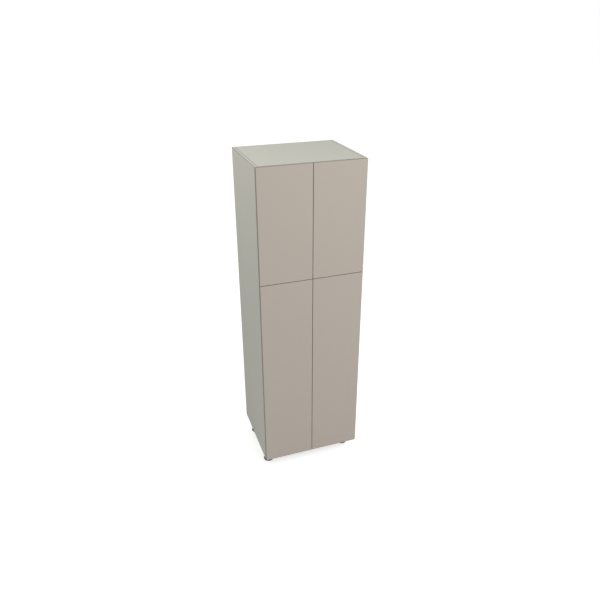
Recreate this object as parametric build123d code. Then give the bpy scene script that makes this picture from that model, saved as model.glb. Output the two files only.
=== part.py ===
from build123d import *
import math
import os

# A tall frameless utility cabinet with two upper and two lower slab doors, in millimetres.
# X runs to the right, Y from the doors to the wall, Z up, and the origin is on the floor
# under the middle of the cabinet.

# Overall sizes of the cabinet
CABINET_WIDTH = 762.0
CARCASS_DEPTH = 609.6
BOX_HEIGHT = 2324.0
LEG_HEIGHT = 114.0

# Boards and their edge bands
PANEL = 19.0
BAND = 1.0
BACK_THICKNESS = 6.0
GROOVE_DEPTH = 8.0
GROOVE_END_PLAY = 1.0
RAIL_THICKNESS = 19.0
RAIL_HEIGHT = 100.0
FIT = 0.1
BORE_FIT = 0.05

# Doors
DOOR_THICKNESS = 19.0
DOOR_STANDOFF = 3.5
DOOR_REVEAL = 1.5
DOOR_GAP = 3.0
DOOR_SPLIT_HEIGHT = 1516.6

# Adjustable shelves and their pins
SHELF_SETBACK = 20.0
SHELF_END_PLAY = 1.0
SHELF_BACK_PLAY = 3.0
UPPER_SHELVES = 1
LOWER_SHELVES = 4
PIN_ROW_INSET = 37.0
PIN_ROW_SPACING = 448.0
PIN_RADIUS = 2.5
PIN_PEG_LENGTH = 11.0
PIN_PAD_LENGTH = 9.0
PIN_PAD_WIDTH = 11.0
PIN_PAD_ROOT = 5.6
PIN_PAD_TIP = 1.6

# Dowels between the boards and the sides
DOWEL_RADIUS = 4.0
DOWEL_IN_SIDE = 11.0
DOWEL_IN_BOARD = 22.0
DOWEL_INSET = 80.0

# Holes for the screws that hold the cabinet to the wall, in the top rail and, wider, in the back
WALL_SCREW_RADIUS = 3.0
WALL_SCREW_SPACING = 406.4
BACK_HOLE_RADIUS = 4.5

# Concealed hinges with one pivot and a gooseneck arm. The pivot is given from the outside of
# the side panel and from the front edge of the carcass.
HINGE_END_DISTANCE = 110.0
PIVOT_FROM_SIDE = 8.6
PIVOT_FROM_FRONT = 12.0
HINGE_PIN_RADIUS = 1.2
HINGE_PIN_LENGTH = 15.0
HINGE_EYE_RADIUS = 2.1
HINGE_PIN_PLAY = 0.05
HINGE_PLAY = 0.5
CUP_RADIUS = 17.5
CUP_SIDES = 12
CUP_DEPTH = 12.0
CUP_FLOOR = 1.0
CUP_EDGE_DISTANCE = 3.0
CUP_POCKET_REACH = 15.5
CUP_FLANGE_HALF = 18.5
CUP_FLANGE_SHOULDER = 9.0
CUP_FLANGE_CORNER = 13.0
CUP_FLANGE_THICKNESS = 1.2
CUP_PEG_RADIUS = 4.0
CUP_PEG_LENGTH = 9.0
CUP_PEG_SPACING = 48.0
CUP_PEG_OFFSET = 6.0
CUP_WING_HALF = 5.5
ARM_THICKNESS = 1.6
ARM_LENGTH = 60.0
ARM_WEB_HEIGHT = 9.1
ARM_LIP_HEIGHT = 6.4
ARM_LIP_THICKNESS = 1.2
ARM_LIP_START = 12.0
ARM_LIP_RAMP = 6.0
ARM_SHOULDER = 6.0
NECK_WIDTH = 9.0
NECK_DROP = 0.9
NECK_REACH = 9.6
NECK_RISE = 3.0
NECK_BEND = 3.0
PLATE_THICKNESS = 1.8
PLATE_WING_HALF = 6.0
PLATE_WING_CORNER = 3.0
PLATE_SCREW_SPACING = 32.0
PLATE_BLOCK_WIDTH = 12.6
PLATE_BLOCK_START = 18.0
PLATE_BLOCK_LENGTH = 40.0
PLATE_NOSE_HEIGHT = 4.0

# Countersunk screws. They and the other thin rounds are drawn with a few flat sides.
SCREW_RADIUS = 2.0
PLATE_SCREW_RADIUS = 2.5
SCREW_HEAD_RADIUS = 4.0
SCREW_LENGTH = 16.0
PEG_SIDES = 6
DISC_SIDES = 8

# Push-to-open latches under the top panel and under the fixed shelf
LATCH_FROM_CENTRE = 45.0
LATCH_SETBACK = 2.0
LATCH_LENGTH = 66.0
LATCH_WIDTH = 16.0
LATCH_HEIGHT = 15.0
LATCH_CHAMFER = 4.0
LATCH_EAR_WIDTH = 34.0
LATCH_EAR_LENGTH = 14.0
LATCH_EAR_THICKNESS = 2.5
PLUNGER_WIDTH = 7.0
PLUNGER_PLAY = 0.15
PLUNGER_LENGTH = 52.0
PLUNGER_TIP_RADIUS = 5.0
PLUNGER_TIP_LENGTH = 1.5
STRIKE_RADIUS = 7.5
STRIKE_THICKNESS = 1.0

# Plastic legs with adjustable foot pads
LEG_SIDE_INSET = 58.0
LEG_FRONT_INSET = 125.0
LEG_BACK_INSET = 102.0
FOOT_RADIUS = 38.0
FOOT_SIDES = 24
FOOT_RIM = 6.0
FOOT_HEIGHT = 16.0
FOOT_TAPER = 60.0
FOOT_STEM_RADIUS = 7.0
FOOT_STEM_LENGTH = 46.0
FOOT_STEM_PLAY = 0.1
STEM_BORE_LENGTH = 50.0
FOOT_RAISE = 12.0
TUBE_RADIUS = 16.0
SOCKET_PLATE = 88.0
SOCKET_PLATE_CORNER = 14.0
SOCKET_PLATE_THICKNESS = 4.0
SOCKET_DEPTH = 32.0
SOCKET_WALL = 3.5
LEG_SIDES = 16
SOCKET_SCREW_SPACING = 66.0
SOCKET_PEG_RADIUS = 6.0
SOCKET_PEG_LENGTH = 10.0
SOCKET_RIB = 2.5
SOCKET_RIB_SETBACK = 4.0

# Planes and rows that follow from the sizes above
OVERALL_DEPTH = CARCASS_DEPTH + DOOR_STANDOFF + DOOR_THICKNESS
DOOR_FRONT = -OVERALL_DEPTH / 2
DOOR_BACK = DOOR_FRONT + DOOR_THICKNESS
CARCASS_FRONT = DOOR_BACK + DOOR_STANDOFF
CARCASS_BACK = CARCASS_FRONT + CARCASS_DEPTH
HALF_WIDTH = CABINET_WIDTH / 2
INNER_HALF = HALF_WIDTH - PANEL
SHELF_HALF = INNER_HALF - SHELF_END_PLAY
BOX_BOTTOM = LEG_HEIGHT
BOX_TOP = LEG_HEIGHT + BOX_HEIGHT
FLOOR_TOP = BOX_BOTTOM + PANEL
CEILING = BOX_TOP - PANEL
SPLIT = BOX_BOTTOM + DOOR_SPLIT_HEIGHT
FIXED_SHELF_BOTTOM = SPLIT - PANEL / 2
FIXED_SHELF_TOP = SPLIT + PANEL / 2
BACK_PANEL_BACK = CARCASS_BACK - RAIL_THICKNESS
BACK_PANEL_FRONT = BACK_PANEL_BACK - BACK_THICKNESS
PLATE_SCREW_ROW = CARCASS_FRONT + PIN_ROW_INSET
PIN_ROWS = [PLATE_SCREW_ROW, PLATE_SCREW_ROW + PIN_ROW_SPACING]
DOWEL_ROWS = [CARCASS_FRONT + DOWEL_INSET, BACK_PANEL_FRONT - DOWEL_INSET]
RAIL_Y = CARCASS_BACK - RAIL_THICKNESS / 2
RAIL_BOTTOMS = {
    "top": CEILING - RAIL_HEIGHT,
    "middle": SPLIT - RAIL_HEIGHT / 2,
    "bottom": FLOOR_TOP,
}
BOARD_BOTTOMS = [CEILING, FIXED_SHELF_BOTTOM, BOX_BOTTOM]
LATCH_CEILINGS = {"upper": CEILING, "lower": FIXED_SHELF_BOTTOM}
LEG_X = HALF_WIDTH - LEG_SIDE_INSET
LEG_PLACES = {
    "front_left": (-LEG_X, CARCASS_FRONT + LEG_FRONT_INSET),
    "front_right": (LEG_X, CARCASS_FRONT + LEG_FRONT_INSET),
    "back_left": (-LEG_X, CARCASS_BACK - LEG_BACK_INSET),
    "back_right": (LEG_X, CARCASS_BACK - LEG_BACK_INSET),
}
DOOR_LEVELS = {
    "upper": (SPLIT + DOOR_GAP / 2, BOX_TOP - DOOR_REVEAL),
    "lower": (BOX_BOTTOM + DOOR_REVEAL, SPLIT - DOOR_GAP / 2),
}
HINGE_LEVELS = {
    "upper": [
        DOOR_LEVELS["upper"][0] + HINGE_END_DISTANCE,
        DOOR_LEVELS["upper"][1] - HINGE_END_DISTANCE,
    ],
    "lower": [
        DOOR_LEVELS["lower"][0] + HINGE_END_DISTANCE,
        (FLOOR_TOP + FIXED_SHELF_BOTTOM) / 2,
        DOOR_LEVELS["lower"][1] - HINGE_END_DISTANCE,
    ],
}
ON_BASE = (Align.CENTER, Align.CENTER, Align.MIN)


def shelf_levels(low, high, count):
    """Undersides of the adjustable shelves that divide a compartment evenly."""
    clear = (high - low - count * PANEL) / (count + 1)
    return [low + clear + step * (clear + PANEL) for step in range(count)]


UPPER_LEVELS = shelf_levels(FIXED_SHELF_TOP, CEILING, UPPER_SHELVES)
LOWER_LEVELS = shelf_levels(FLOOR_TOP, FIXED_SHELF_BOTTOM, LOWER_SHELVES)


def board(x0, x1, y0, y1, z0, z1):
    """A plain board between two corners."""
    low = (Align.MIN, Align.MIN, Align.MIN)
    return Pos(x0, y0, z0) * Box(x1 - x0, y1 - y0, z1 - z0, align=low)


def outline(points):
    """A flat face inside a closed line of straight edges."""
    return make_face(Polyline(*points, close=True).edges())


def rod(start, direction, radius, length):
    """A round bar, or the drill for a round hole, from a start point along a direction."""
    return Plane(origin=start, z_dir=direction) * Cylinder(radius, length, align=ON_BASE)


def peg(start, direction, radius, length, sides=PEG_SIDES):
    """A fluted peg or shank with a few flat sides, or the hole that takes it."""
    base = Plane(origin=start, z_dir=direction)
    return extrude(base * RegularPolygon(radius, sides), length)


def countersink(seat, direction, radius, thickness, play=0.0):
    """A screw's head, which narrows to the shank through a plate, or with play the hole for it."""
    base = Plane(origin=seat, z_dir=direction)
    inset = (SCREW_HEAD_RADIUS - radius) * math.cos(math.pi / PEG_SIDES)
    slope = math.degrees(math.atan2(inset, thickness))
    return extrude(base * RegularPolygon(SCREW_HEAD_RADIUS + play, PEG_SIDES), thickness, taper=slope)


def shank_start(seat, direction, thickness):
    """Where a screw leaves its plate and enters the board behind it."""
    return Vector(seat) + Vector(direction) * thickness


def screw(seat, direction, radius, thickness):
    """A countersunk screw, its head flush with the plate that it holds."""
    start = shank_start(seat, direction, thickness)
    shank = peg(start, direction, radius, SCREW_LENGTH - thickness)
    return countersink(seat, direction, radius, thickness) + shank


def plate_hole(seat, direction, radius, thickness):
    """The countersunk hole for a screw in the plate that it holds."""
    return countersink(seat, direction, radius, thickness, BORE_FIT)


def board_hole(seat, direction, radius, thickness):
    """The blind hole for a screw's shank in the board behind the plate."""
    start = shank_start(seat, direction, thickness)
    return peg(start, direction, radius + BORE_FIT, SCREW_LENGTH - thickness + FIT)


def mirrored(shape):
    """The same piece on the other side of the cabinet."""
    return mirror(shape, about=Plane.YZ)


def both_sides(shape):
    """A left piece and its mirror image."""
    return [shape, mirrored(shape)]


def write(name, pieces):
    """Write one node, which may be a group of separate solids."""
    solids = [solid for piece in pieces for solid in piece.solids()]
    shape = solids[0] if len(solids) == 1 else Compound(solids)
    export_step(shape, f"parts/{name}.step")


def plate_screw_seats(level):
    """Where the two screws of a left mounting plate meet it."""
    x = -INNER_HALF + PLATE_THICKNESS
    half = PLATE_SCREW_SPACING / 2
    return [(x, PLATE_SCREW_ROW, level - half), (x, PLATE_SCREW_ROW, level + half)]


def latch_screw_seats(side, ceiling):
    """Where the two screws of a latch meet its ears."""
    x = side * LATCH_FROM_CENTRE
    y = CARCASS_FRONT + LATCH_SETBACK + LATCH_LENGTH / 2
    z = ceiling - LATCH_EAR_THICKNESS
    reach = (LATCH_EAR_WIDTH + LATCH_WIDTH) / 4
    return [(x - reach, y, z), (x + reach, y, z)]


def leg_screw_seats(x, y):
    """Where the two screws of a leg socket meet its plate: outside in front, inside at the back."""
    half = SOCKET_SCREW_SPACING / 2
    outward = half if x > 0 else -half
    z = BOX_BOTTOM - SOCKET_PLATE_THICKNESS
    return [(x + outward, y - half, z), (x - outward, y + half, z)]


def side_panel():
    """The left side, drilled for pins, hinge plates and dowels, and grooved for the back."""
    front = CARCASS_FRONT + BAND
    panel = board(-HALF_WIDTH, -INNER_HALF, front, CARCASS_BACK, BOX_BOTTOM, BOX_TOP)
    cuts = [board(
        -INNER_HALF - GROOVE_DEPTH, -INNER_HALF,
        BACK_PANEL_FRONT - FIT, BACK_PANEL_BACK + FIT,
        FLOOR_TOP - GROOVE_DEPTH, CEILING + GROOVE_DEPTH,
    )]
    outward = (-1, 0, 0)
    for level in UPPER_LEVELS + LOWER_LEVELS:
        for row in PIN_ROWS:
            start = (-INNER_HALF, row, level - PIN_PAD_ROOT / 2)
            cuts.append(peg(start, outward, PIN_RADIUS + BORE_FIT, PIN_PEG_LENGTH + FIT))
    for level in HINGE_LEVELS["upper"] + HINGE_LEVELS["lower"]:
        for seat in plate_screw_seats(level):
            cuts.append(board_hole(seat, outward, PLATE_SCREW_RADIUS, PLATE_THICKNESS))
    dowel_places = [(row, bottom + PANEL / 2) for bottom in BOARD_BOTTOMS for row in DOWEL_ROWS]
    dowel_places += [(RAIL_Y, bottom + RAIL_HEIGHT / 2) for bottom in RAIL_BOTTOMS.values()]
    for y, z in dowel_places:
        cuts.append(peg((-INNER_HALF, y, z), outward, DOWEL_RADIUS + BORE_FIT, DOWEL_IN_SIDE + FIT))
    return panel - cuts


def end_dowel_holes(y, z):
    """The two dowel holes in the ends of a board."""
    return [
        peg((side * INNER_HALF, y, z), (-side, 0, 0), DOWEL_RADIUS + BORE_FIT, DOWEL_IN_BOARD + FIT)
        for side in (-1, 1)
    ]


def carcass_board(bottom, back, cuts):
    """The top, the bottom or the fixed shelf, with dowel holes in its ends and other cuts."""
    panel = board(-INNER_HALF, INNER_HALF, CARCASS_FRONT + BAND, back, bottom, bottom + PANEL)
    for row in DOWEL_ROWS:
        cuts = cuts + end_dowel_holes(row, bottom + PANEL / 2)
    return panel - cuts


def back_groove(face, direction):
    """The groove for the back panel in the top's underside or the bottom's upper side."""
    low, high = sorted((face, face + direction * GROOVE_DEPTH))
    return board(-INNER_HALF, INNER_HALF, BACK_PANEL_FRONT - FIT, BACK_PANEL_BACK + FIT, low, high)


def latch_screw_holes(ceiling):
    """The holes for the screws of the two latches under a board."""
    seats = latch_screw_seats(-1, ceiling) + latch_screw_seats(1, ceiling)
    return [board_hole(seat, (0, 0, 1), SCREW_RADIUS, LATCH_EAR_THICKNESS) for seat in seats]


def leg_holes():
    """The holes in the bottom panel for the legs' screws and pegs."""
    holes = []
    for x, y in LEG_PLACES.values():
        start = (x, y, BOX_BOTTOM)
        holes.append(peg(start, (0, 0, 1), SOCKET_PEG_RADIUS + BORE_FIT, SOCKET_PEG_LENGTH + FIT))
        for seat in leg_screw_seats(x, y):
            holes.append(board_hole(seat, (0, 0, 1), SCREW_RADIUS, SOCKET_PLATE_THICKNESS))
    return holes


def wall_screw_places(y):
    """Where the two wall screws cross a plane, at the height of the top rail."""
    level = RAIL_BOTTOMS["top"] + RAIL_HEIGHT / 2
    half = WALL_SCREW_SPACING / 2
    return [(-half, y, level), (half, y, level)]


def back_panel():
    """The thin back, held in the grooves."""
    reach = GROOVE_DEPTH - GROOVE_END_PLAY
    sheet = board(
        -INNER_HALF - reach, INNER_HALF + reach,
        BACK_PANEL_FRONT, BACK_PANEL_BACK,
        FLOOR_TOP - reach, CEILING + reach,
    )
    return sheet - [
        peg(place, (0, 1, 0), BACK_HOLE_RADIUS, BACK_THICKNESS, DISC_SIDES)
        for place in wall_screw_places(BACK_PANEL_FRONT)
    ]


def hanging_rail(bottom, cuts):
    """A rail behind the back panel, dowelled between the sides."""
    rail = board(-INNER_HALF, INNER_HALF, BACK_PANEL_BACK, CARCASS_BACK, bottom, bottom + RAIL_HEIGHT)
    return rail - (cuts + end_dowel_holes(RAIL_Y, bottom + RAIL_HEIGHT / 2))


def dowel(side, y, z):
    """A dowel, partly in the side panel and partly in the board's end."""
    start = (side * (INNER_HALF + DOWEL_IN_SIDE), y, z)
    return peg(start, (-side, 0, 0), DOWEL_RADIUS, DOWEL_IN_SIDE + DOWEL_IN_BOARD)


def adjustable_shelf(bottom):
    """A loose shelf without its front band."""
    front = CARCASS_FRONT + SHELF_SETBACK + BAND
    back = BACK_PANEL_FRONT - SHELF_BACK_PLAY
    return board(-SHELF_HALF, SHELF_HALF, front, back, bottom, bottom + PANEL)


def shelf_pin(row, level):
    """A left pin: a peg in the side panel, and a pad under the shelf that thins towards its tip."""
    x = -INNER_HALF
    pad_face = Plane.XZ * outline([
        (x, level), (x + PIN_PAD_LENGTH, level),
        (x + PIN_PAD_LENGTH, level - PIN_PAD_TIP), (x, level - PIN_PAD_ROOT),
    ])
    pad = Pos(0, row, 0) * extrude(pad_face, PIN_PAD_WIDTH / 2, both=True)
    return pad + peg((x, row, level - PIN_PAD_ROOT / 2), (-1, 0, 0), PIN_RADIUS, PIN_PEG_LENGTH)


def door(x0, x1, z0, z1, side, hinge_levels):
    """A slab door's board, without its bands, bored for its hinge cups and their pegs."""
    slab = board(x0 + BAND, x1 - BAND, DOOR_FRONT, DOOR_BACK, z0 + BAND, z1 - BAND)
    cup_x = side * (HALF_WIDTH - CUP_X)
    peg_x = cup_x - side * CUP_PEG_OFFSET
    inward = (0, -1, 0)
    cuts = []
    for level in hinge_levels:
        cuts.append(peg((cup_x, DOOR_BACK, level), inward, CUP_RADIUS, CUP_DEPTH + FIT, CUP_SIDES))
        for offset in (-CUP_PEG_SPACING / 2, CUP_PEG_SPACING / 2):
            start = (peg_x, DOOR_BACK, level + offset)
            cuts.append(peg(start, inward, CUP_PEG_RADIUS + BORE_FIT, CUP_PEG_LENGTH + FIT))
    return slab - cuts


def door_edge_bands(x0, x1, z0, z1):
    """The four bands round a door: the long ones run full height, the short ones lie between."""
    return [
        board(x0, x0 + BAND, DOOR_FRONT, DOOR_BACK, z0, z1),
        board(x1 - BAND, x1, DOOR_FRONT, DOOR_BACK, z0, z1),
        board(x0 + BAND, x1 - BAND, DOOR_FRONT, DOOR_BACK, z0, z0 + BAND),
        board(x0 + BAND, x1 - BAND, DOOR_FRONT, DOOR_BACK, z1 - BAND, z1),
    ]


# The hinge is drawn once for the left side panel, about an origin where the outside of the
# panel meets the front edge of the carcass: x to the inside of the cabinet, y to the wall.
CUP_X = DOOR_REVEAL + CUP_EDGE_DISTANCE + CUP_RADIUS
ARM_WEB_X = PANEL + ARM_WEB_HEIGHT
CHANNEL_HALF = PLATE_BLOCK_WIDTH / 2 + FIT + ARM_LIP_THICKNESS
LEFT_HINGE_ORIGIN = Pos(-HALF_WIDTH, CARCASS_FRONT, 0)


def hinge_cup():
    """A die-cast cup with a pocket for the gooseneck, and a flange with two pegged wings.

    The flange is cut away towards the door's edge, where the gooseneck swings out.
    """
    face = Plane(origin=(CUP_X, -DOOR_STANDOFF, 0), x_dir=(1, 0, 0), z_dir=(0, 1, 0))
    pocket_start = PIVOT_FROM_SIDE - HINGE_EYE_RADIUS - HINGE_PLAY - CUP_X
    pocket_half = NECK_WIDTH / 2 + HINGE_PLAY
    tip = CUP_PEG_SPACING / 2 + CUP_WING_HALF
    half = CUP_FLANGE_HALF
    upper = [
        (pocket_start, pocket_half),
        (-half, pocket_half),
        (-half, CUP_FLANGE_SHOULDER),
        (CUP_PEG_OFFSET - CUP_WING_HALF, tip),
        (CUP_PEG_OFFSET + CUP_WING_HALF, tip),
        (half, CUP_FLANGE_CORNER),
    ]
    lower = [(x, -y) for x, y in reversed(upper)]
    flange = extrude(outline(upper + lower), CUP_FLANGE_THICKNESS)
    inward = (0, -1, 0)
    pot = peg((CUP_X, -DOOR_STANDOFF, 0), inward, CUP_RADIUS - BORE_FIT, CUP_DEPTH, CUP_SIDES)
    pegs = [
        peg((CUP_X + CUP_PEG_OFFSET, -DOOR_STANDOFF, offset), inward, CUP_PEG_RADIUS, CUP_PEG_LENGTH)
        for offset in (-CUP_PEG_SPACING / 2, CUP_PEG_SPACING / 2)
    ]
    pocket = board(
        pocket_start, CUP_POCKET_REACH,
        -pocket_half, pocket_half,
        CUP_FLOOR - CUP_DEPTH, CUP_FLANGE_THICKNESS,
    )
    return face * flange + pot + pegs - [face * pocket, pin_hole(HINGE_PIN_LENGTH + 2 * FIT)]


def hinge_pin():
    """The pivot, a round pin that the cup holds at both ends."""
    start = (PIVOT_FROM_SIDE, -PIVOT_FROM_FRONT, -HINGE_PIN_LENGTH / 2)
    return rod(start, (0, 0, 1), HINGE_PIN_RADIUS, HINGE_PIN_LENGTH)


def pin_hole(length):
    """A hole on the pivot's axis, its six flats just clear of the round pin."""
    face = RegularPolygon(HINGE_PIN_RADIUS + HINGE_PIN_PLAY, PEG_SIDES, major_radius=False)
    return Pos(PIVOT_FROM_SIDE, -PIVOT_FROM_FRONT, -length / 2) * extrude(face, length)


def hinge_arm():
    """A pressed arm: an eye round the pin, a gooseneck, and a channel that straddles the plate."""
    px = PIVOT_FROM_SIDE
    py = -PIVOT_FROM_FRONT
    path = FilletPolyline(
        (px, py - NECK_DROP),
        (px + NECK_REACH, py - NECK_DROP),
        (px + NECK_REACH + NECK_RISE, HINGE_PLAY),
        (ARM_WEB_X, ARM_SHOULDER),
        (ARM_WEB_X, ARM_LENGTH),
        radius=[NECK_BEND, 0, 0],
    )
    strip = extrude(trace(path, ARM_THICKNESS), CHANNEL_HALF, both=True)
    back = py - 2 * HINGE_EYE_RADIUS
    upper = [
        (back, NECK_WIDTH / 2), (0, NECK_WIDTH / 2),
        (ARM_SHOULDER, CHANNEL_HALF), (ARM_LENGTH, CHANNEL_HALF),
    ]
    lower = [(y, -z) for y, z in reversed(upper)]
    blank = extrude(Plane.YZ * outline(upper + lower), 2 * ARM_WEB_X)
    eye = Pos(px, py, -NECK_WIDTH / 2) * extrude(RegularPolygon(HINGE_EYE_RADIUS, DISC_SIDES), NECK_WIDTH)
    lip_face = outline([
        (ARM_WEB_X, ARM_LIP_START),
        (ARM_WEB_X - ARM_LIP_HEIGHT, ARM_LIP_START + ARM_LIP_RAMP),
        (ARM_WEB_X - ARM_LIP_HEIGHT, ARM_LENGTH - ARM_LIP_RAMP),
        (ARM_WEB_X, ARM_LENGTH),
    ])
    lip = Pos(0, 0, CHANNEL_HALF - ARM_LIP_THICKNESS) * extrude(lip_face, ARM_LIP_THICKNESS)
    lips = [lip, mirror(lip, about=Plane.XY)]
    return (strip & blank) + eye + lips - pin_hole(2 * NECK_WIDTH)


def mounting_plate():
    """A cross plate on the side panel, with a block for the arm and two screw wings."""
    height = ARM_WEB_HEIGHT - ARM_THICKNESS / 2
    flat = Plane(origin=(PANEL, 0, 0), x_dir=(0, 1, 0), z_dir=(1, 0, 0))
    tip = PLATE_SCREW_SPACING / 2 + PLATE_WING_HALF
    narrow = PLATE_WING_HALF - PLATE_WING_CORNER
    upper = [
        (PIN_ROW_INSET - PLATE_WING_HALF, tip - PLATE_WING_CORNER),
        (PIN_ROW_INSET - narrow, tip),
        (PIN_ROW_INSET + narrow, tip),
        (PIN_ROW_INSET + PLATE_WING_HALF, tip - PLATE_WING_CORNER),
    ]
    lower = [(y, -z) for y, z in reversed(upper)]
    wings = extrude(outline(upper + lower), PLATE_THICKNESS)
    end = PLATE_BLOCK_START + PLATE_BLOCK_LENGTH
    block_face = outline([
        (PLATE_BLOCK_START, 0), (end, 0), (end, height),
        (PLATE_BLOCK_START + height, height), (PLATE_BLOCK_START, PLATE_NOSE_HEIGHT),
    ])
    block = extrude(Plane.XZ * block_face, PLATE_BLOCK_WIDTH / 2, both=True)
    plate = flat * (wings + block)
    holes = [plate_hole(seat, (-1, 0, 0), PLATE_SCREW_RADIUS, PLATE_THICKNESS)
             for seat in plate_screw_seats(0)]
    return plate - [Pos(HALF_WIDTH, -CARCASS_FRONT, 0) * hole for hole in holes]


def push_latch(side, ceiling):
    """A latch housing under a board: a body with a channel for the plunger and two screw ears."""
    x = side * LATCH_FROM_CENTRE
    front = CARCASS_FRONT + LATCH_SETBACK
    half = LATCH_WIDTH / 2
    low = ceiling - LATCH_HEIGHT
    section = Plane.XZ * outline([
        (x - half, ceiling), (x - half, low + LATCH_CHAMFER), (x - half + LATCH_CHAMFER, low),
        (x + half - LATCH_CHAMFER, low), (x + half, low + LATCH_CHAMFER), (x + half, ceiling),
    ])
    body = extrude(Pos(0, front, 0) * section, -LATCH_LENGTH)
    ear_y = front + LATCH_LENGTH / 2
    ear = board(
        x - LATCH_EAR_WIDTH / 2, x + LATCH_EAR_WIDTH / 2,
        ear_y - LATCH_EAR_LENGTH / 2, ear_y + LATCH_EAR_LENGTH / 2,
        ceiling - LATCH_EAR_THICKNESS, ceiling,
    )
    channel_half = PLUNGER_WIDTH / 2 + PLUNGER_PLAY
    middle = ceiling - LATCH_HEIGHT / 2
    channel = board(
        x - channel_half, x + channel_half,
        front, front + PLUNGER_LENGTH,
        middle - channel_half, middle + channel_half,
    )
    holes = [plate_hole(seat, (0, 0, 1), SCREW_RADIUS, LATCH_EAR_THICKNESS)
             for seat in latch_screw_seats(side, ceiling)]
    return body + ear - [channel] - holes


def latch_plunger(side, ceiling):
    """The sliding plunger, with its magnet tip just off the strike plate."""
    x = side * LATCH_FROM_CENTRE
    z = ceiling - LATCH_HEIGHT / 2
    tip_y = DOOR_BACK + STRIKE_THICKNESS + FIT
    half = PLUNGER_WIDTH / 2
    tip = peg((x, tip_y, z), (0, 1, 0), PLUNGER_TIP_RADIUS, PLUNGER_TIP_LENGTH, DISC_SIDES)
    stem = board(x - half, x + half, tip_y + PLUNGER_TIP_LENGTH, tip_y + PLUNGER_LENGTH, z - half, z + half)
    return tip + stem


def strike_plate(side, ceiling):
    """A steel disc on the back of the door."""
    start = (side * LATCH_FROM_CENTRE, DOOR_BACK, ceiling - LATCH_HEIGHT / 2)
    return peg(start, (0, 1, 0), STRIKE_RADIUS, STRIKE_THICKNESS, DISC_SIDES)


def leg_round(radius):
    """The round section of a leg's parts, drawn with flats, four of which face the ribs."""
    return RegularPolygon(radius, LEG_SIDES, rotation=180 / LEG_SIDES)


def leg_socket(x, y):
    """A screwed plate with a locating peg above, and a ribbed round socket for the tube below."""
    outer = TUBE_RADIUS + BORE_FIT + SOCKET_WALL
    square = Rectangle(SOCKET_PLATE, SOCKET_PLATE)
    plate = extrude(chamfer(square.vertices(), SOCKET_PLATE_CORNER), -SOCKET_PLATE_THICKNESS)
    barrel = extrude(leg_round(outer), -SOCKET_DEPTH)
    rib_face = Plane.XZ * outline([
        (0, 0), (SOCKET_PLATE / 2 - SOCKET_RIB_SETBACK, -SOCKET_PLATE_THICKNESS),
        (outer, SOCKET_RIB_SETBACK - SOCKET_DEPTH), (0, SOCKET_RIB_SETBACK - SOCKET_DEPTH),
    ])
    rib = extrude(rib_face, SOCKET_RIB / 2, both=True)
    ribs = [Rot(0, 0, turn) * rib for turn in (0, 90, 180, 270)]
    locator = peg((0, 0, 0), (0, 0, 1), SOCKET_PEG_RADIUS, SOCKET_PEG_LENGTH)
    bore = Pos(0, 0, -SOCKET_PLATE_THICKNESS) * extrude(leg_round(TUBE_RADIUS + BORE_FIT), -SOCKET_DEPTH)
    socket = Pos(x, y, BOX_BOTTOM) * (plate + barrel + ribs + locator - bore)
    return socket - [plate_hole(seat, (0, 0, 1), SCREW_RADIUS, SOCKET_PLATE_THICKNESS)
                     for seat in leg_screw_seats(x, y)]


def leg_tube(x, y):
    """The leg tube, bored from below for the foot's stem."""
    bottom = FOOT_HEIGHT + FOOT_RAISE
    height = BOX_BOTTOM - SOCKET_PLATE_THICKNESS - bottom
    tube = extrude(leg_round(TUBE_RADIUS), height)
    bore = peg((0, 0, 0), (0, 0, 1), FOOT_STEM_RADIUS + FOOT_STEM_PLAY, STEM_BORE_LENGTH, DISC_SIDES)
    return Pos(x, y, bottom) * (tube - bore)


def foot(x, y):
    """A foot pad: a broad rim that rises to a crown, with its stem up in the leg tube."""
    face = RegularPolygon(FOOT_RADIUS, FOOT_SIDES)
    pad = extrude(face, FOOT_RIM)
    slope = extrude(Pos(0, 0, FOOT_RIM) * face, FOOT_HEIGHT - FOOT_RIM, taper=FOOT_TAPER)
    stem = peg((0, 0, FOOT_HEIGHT), (0, 0, 1), FOOT_STEM_RADIUS, FOOT_STEM_LENGTH, DISC_SIDES)
    return Pos(x, y, 0) * (pad + slope + stem)


os.makedirs("parts", exist_ok=True)

# Boards of the carcass
left_side = side_panel()
write("side_panel_left", [left_side])
write("side_panel_right", [mirrored(left_side)])
top_cuts = [back_groove(CEILING, 1)] + latch_screw_holes(CEILING)
write("top_panel", [carcass_board(CEILING, CARCASS_BACK, top_cuts)])
write("fixed_shelf", [carcass_board(
    FIXED_SHELF_BOTTOM, BACK_PANEL_FRONT, latch_screw_holes(FIXED_SHELF_BOTTOM))])
bottom_cuts = [back_groove(FLOOR_TOP, -1)] + leg_holes()
write("bottom_panel", [carcass_board(BOX_BOTTOM, CARCASS_BACK, bottom_cuts)])
write("back_panel", [back_panel()])
top_rail_holes = [
    rod(place, (0, 1, 0), WALL_SCREW_RADIUS, RAIL_THICKNESS)
    for place in wall_screw_places(BACK_PANEL_BACK)
]
for name, level in RAIL_BOTTOMS.items():
    write(f"hanging_rail_{name}", [hanging_rail(level, top_rail_holes if name == "top" else [])])

# Front bands of the carcass, the long ones on the side panels
band_back = CARCASS_FRONT + BAND
side_band = board(-HALF_WIDTH, -INNER_HALF, CARCASS_FRONT, band_back, BOX_BOTTOM, BOX_TOP)
carcass_bands = both_sides(side_band)
for level in BOARD_BOTTOMS:
    carcass_bands.append(board(
        -INNER_HALF, INNER_HALF, CARCASS_FRONT, band_back, level, level + PANEL))
write("carcass_edge_bands", carcass_bands)

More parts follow.
